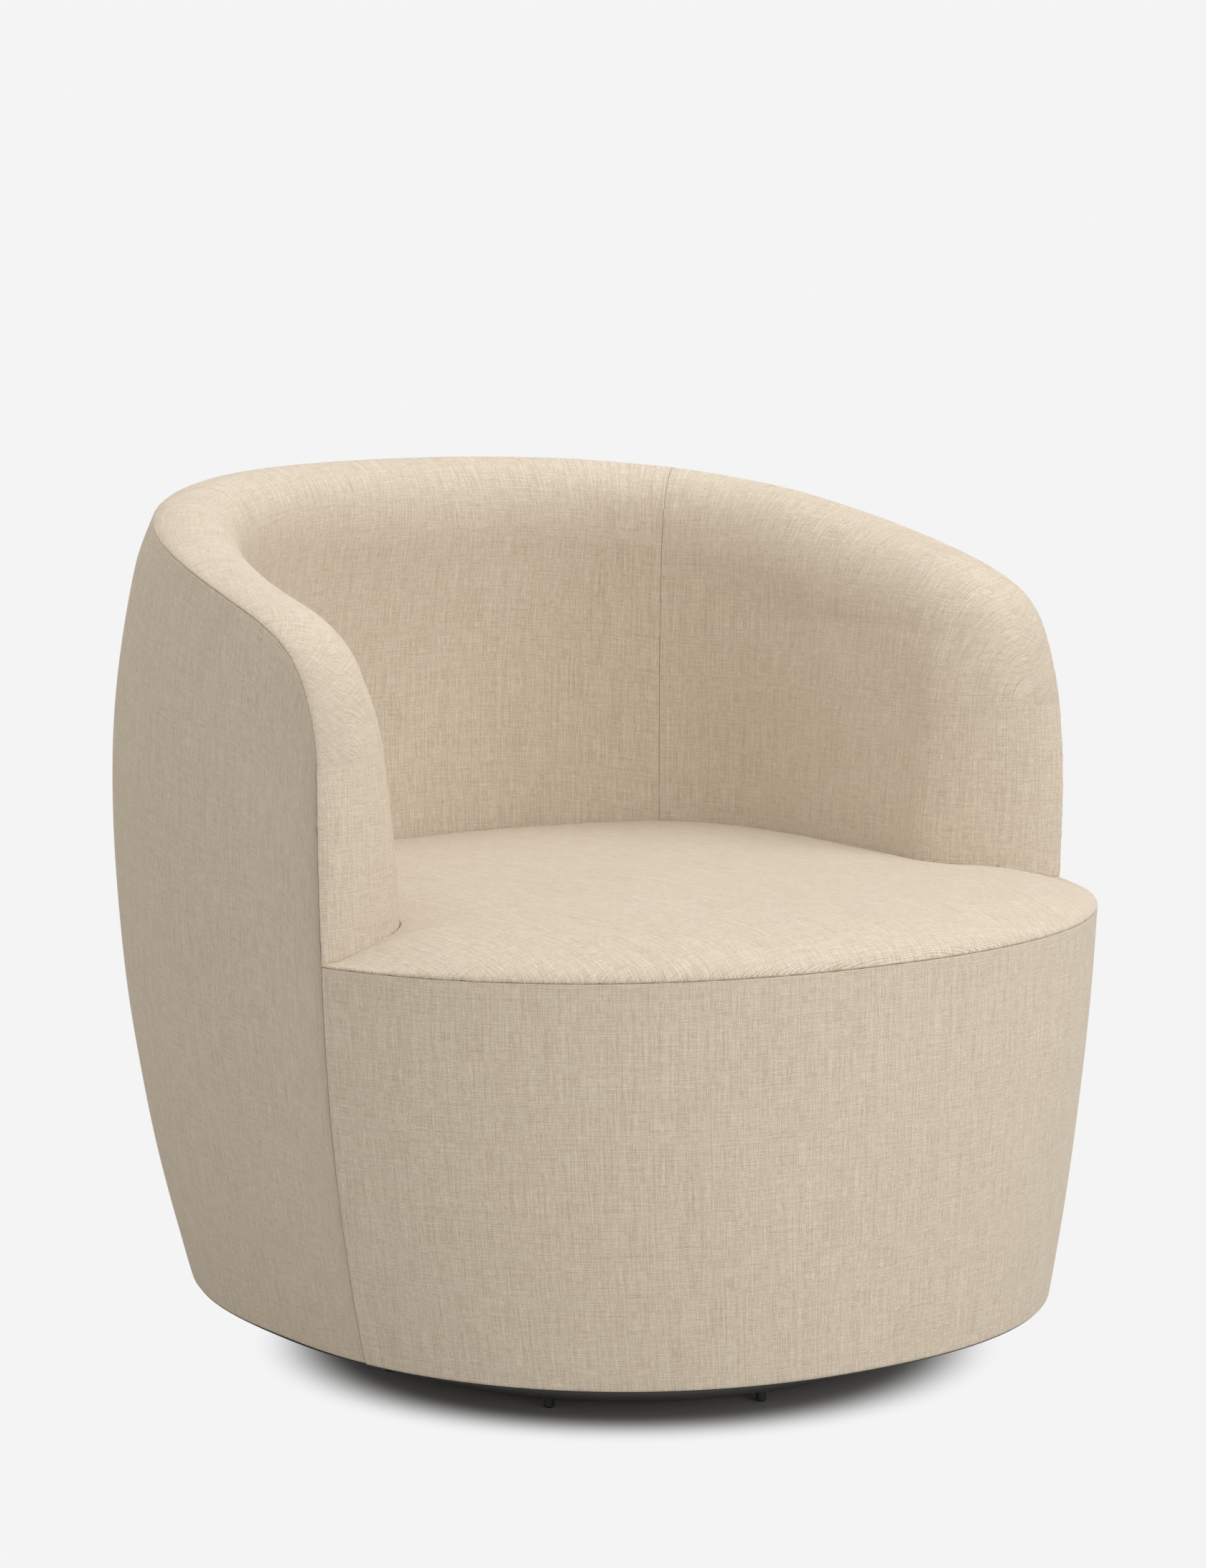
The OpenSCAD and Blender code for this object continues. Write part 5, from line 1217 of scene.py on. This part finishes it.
def black_cloth():
    f = Finish("black_bonded_cloth", Roughness=0.88, Sheen_Weight=0.2)
    place = f.coords()
    dots = f.node("ShaderNodeTexVoronoi", {"Vector": place, "Scale": 520.0, "Randomness": 0.15}).outputs["Distance"]
    strands = f.noise(place, 700.0, 5.0, 0.7)
    tone = f.mix(f.between(strands, 0.0, 1.0), (0.010, 0.010, 0.011), (0.045, 0.044, 0.045))
    tone = f.mix(f.ramp(dots, (0.12, (0.6, 0.6, 0.6)), (0.26, (0, 0, 0))), tone, (0.004, 0.004, 0.004))
    return f.wear(tone, f.between(strands, 0.75, 0.95), f.bump(dots, 0.0003, 0.7, f.bump(strands, 0.0002, 0.6)))


def sewing_thread():
    f = Finish("cream_sewing_thread", Roughness=0.75, Sheen_Weight=0.1)
    place = f.coords()
    ply = f.noise(place, 1.0, 2.0, 0.6, (1500.0, 1500.0, 1500.0))
    tint = f.noise(place, 40.0, 3.0, 0.6)
    tone = f.mix(f.between(ply, 0.0, 1.0), (0.56, 0.49, 0.40), (0.74, 0.67, 0.57))
    tone = f.mix(f.between(tint, 0.0, 0.3), tone, (0.62, 0.54, 0.44))
    return f.wear(tone, f.between(ply, 0.65, 0.88), f.bump(ply, 0.00008, 0.6))


cover = woven_cover()
felt, strap, dust = pressed_felt(), strap_weave(), black_cloth()
node_finishes = {
    "base_paint": powder_coat(),
    "glide_plastic": moulded_black(),
    "bearing_steel": plated_steel("zinc_plated_steel", (0.60, 0.61, 0.62), 0.26, 0.5),
    "ball_steel": plated_steel("polished_ball_steel", (0.72, 0.72, 0.73), 0.06, 0.16, (300, 300, 300), False),
    "brass": plated_steel("satin_brass", (0.73, 0.55, 0.27), 0.24, 0.42),
    "plywood": birch_ply(),
    "timber": planed_timber(),
    "tack_steel": plated_steel("blued_tack_steel", (0.22, 0.225, 0.24), 0.3, 0.5),
}
slots = {row["node"]: row["material_slot"] for row in frame["record"]["subparts"]}
for name, part in frame["nodes"].items():
    finish = node_finishes.get(slots[name])
    if finish and not part.material_slots:
        part.data.materials.append(finish)
    elif finish:
        for place in part.material_slots:
            place.material = finish


def dress(piece, slot, *solids, fill=None):
    """Puts a piece on the turning body, in place of the named solids."""
    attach(piece, "seat")
    if solids:
        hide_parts(*solids)


# The pieces
arm_full = back_full = seat_full = None
arm_full, back_full, seat_full = arm_swelling(), back_swelling(), seat_swelling()
dress(arm_pad(-1, cover, arm_full), "cover_fabric", "arm_cover_left", "arm_foam_left", fill=0.95)
dress(arm_pad(1, cover, arm_full), "cover_fabric", "arm_cover_right", "arm_foam_right", fill=0.95)
dress(back_pad(cover, back_full), "cover_fabric", "back_cover", "back_foam", fill=0.95)
dress(seat_cushion(cover, seat_full), "cover_fabric", "seat_cover", "seat_wadding", "seat_foam", fill=0.95)
dress(outer_wrap(cover), "cover_fabric", "outer_cover", fill=1.0)
dress(front_border(cover), "cover_fabric", "front_cover", "front_foam", fill=1.0)
dress(seam_stitches(sewing_thread()), "cover_fabric")
dress(felt_pad(felt), "felt", "seat_felt", fill=1.0)
dress(webbing_straps("straps_lengthwise", True, strap), "webbing", "webbing_lengthwise")
dress(webbing_straps("straps_crosswise", False, strap), "webbing", "webbing_crosswise")
cloth, wide, deep, cut = dust_cover(dust)
dress(cloth, "dust_cloth", "dust_cover")


# Studio: pale floor and backdrop, soft light
PALE = (0.905, 0.905, 0.905, 1)  # the backdrop as it is seen
FLOOR_GREY = (0.62, 0.62, 0.62, 1)
FLOOR_FADE = (0.25, 0.348)  # where the matt floor turns into the backdrop, in metres from the centre


def seen_directly(tree):
    """Whether a ray comes from the camera, a mirror or a clear body, as 1 or 0."""
    path = add_node(tree, "ShaderNodeLightPath").outputs
    seen = path["Is Camera Ray"]
    for kind in ("Is Glossy Ray", "Is Transmission Ray"):
        seen = add_node(tree, "ShaderNodeMath", {0: seen, 1: path[kind]}, operation="MAXIMUM").outputs[0]
    return seen


def set_blend(tree, out, share, first, second):
    blend = add_node(tree, "ShaderNodeMixShader", {0: share, 1: first.outputs[0], 2: second.outputs[0]})
    add_node(tree, out, {"Surface": blend.outputs[0]})


def studio_floor():
    """Matt floor that keeps the chair's shadow and fades to the pale backdrop round it."""
    size = 14.0
    mesh = bpy.data.meshes.new("studio_floor")
    mesh.from_pydata([(-size, -size, 0), (size, -size, 0), (size, size, 0), (-size, size, 0)], [], [(0, 1, 2, 3)])
    mesh.update()
    floor = bpy.data.objects.new("studio_floor", mesh)
    bpy.context.scene.collection.objects.link(floor)
    finish = bpy.data.materials.new("pale_floor")
    finish.use_nodes = True
    tree = finish.node_tree
    tree.nodes.clear()
    matt = add_node(tree, "ShaderNodeBsdfDiffuse", {"Color": FLOOR_GREY})
    pale = add_node(tree, "ShaderNodeEmission", {"Color": PALE})
    where = add_node(tree, "ShaderNodeTexCoord").outputs["Object"]
    far = add_node(tree, "ShaderNodeVectorMath", {0: where}, operation="LENGTH").outputs["Value"]
    fade = add_node(tree, "ShaderNodeMapRange", interpolation_type="SMOOTHERSTEP",
                    inputs={"Value": far, "From Min": FLOOR_FADE[0], "From Max": FLOOR_FADE[1]})
    amount = add_node(tree, "ShaderNodeMath", operation="MULTIPLY",
                      inputs={0: fade.outputs["Result"], 1: seen_directly(tree)})
    set_blend(tree, "ShaderNodeOutputMaterial", amount.outputs[0], matt, pale)
    mesh.materials.append(finish)


def studio_world():
    """Warm fill light, seen as the pale backdrop."""
    world = bpy.data.worlds.new("studio_world")
    bpy.context.scene.world = world
    world.use_nodes = True
    tree = world.node_tree
    tree.nodes.clear()
    light = add_node(tree, "ShaderNodeBackground", {"Color": (1.0, 0.938, 0.85, 1), "Strength": 0.68})
    pale = add_node(tree, "ShaderNodeBackground", {"Color": PALE})
    set_blend(tree, "ShaderNodeOutputWorld", seen_directly(tree), light, pale)


def lamp(name, place, aim, size, power, colour):
    data = bpy.data.lights.new(name, "AREA")
    data.shape = "RECTANGLE"
    data.size, data.size_y = size
    data.energy = power
    data.color = colour
    item = bpy.data.objects.new(name, data)
    item.location = place
    way = np.array(aim, float) - np.array(place, float)
    way /= np.linalg.norm(way)
    turn = math.atan2(-way[0], way[1]) if abs(way[0]) + abs(way[1]) > 1e-6 else 0
    item.rotation_euler = (math.acos(-way[2]), 0, turn)
    bpy.context.scene.collection.objects.link(item)


studio_floor()
studio_world()
lamp("overhead_softbox", (0, 0, 3.0), (0, 0, 0), (3.0, 3.0), 33, (0.965, 0.985, 1.0))
lamp("front_softbox", (0, -3.6, 1.4), (0, 0, 0.5), (2.0, 2.0), 28.5, (1.0, 0.985, 0.97))
lamp("high_right_softbox", (2.2, -1.8, 3.0), (0, 0, 0.5), (2.0, 2.0), 37, (0.975, 0.988, 1.0))

camera_data = bpy.data.cameras.new("photo_camera")
camera_data.lens = 97.96
camera_data.sensor_width = 36
camera_data.sensor_height = 36
camera_data.sensor_fit = "AUTO"
camera_data.clip_end = 100
camera = bpy.data.objects.new("photo_camera", camera_data)
camera.location = (-2.2085, -3.0650, 1.0149)
camera.rotation_euler = (math.radians(90 - 7.652), 0, math.radians(-35.444))
bpy.context.scene.collection.objects.link(camera)
bpy.context.scene.camera = camera
bpy.context.scene.view_settings.view_transform = "Standard"
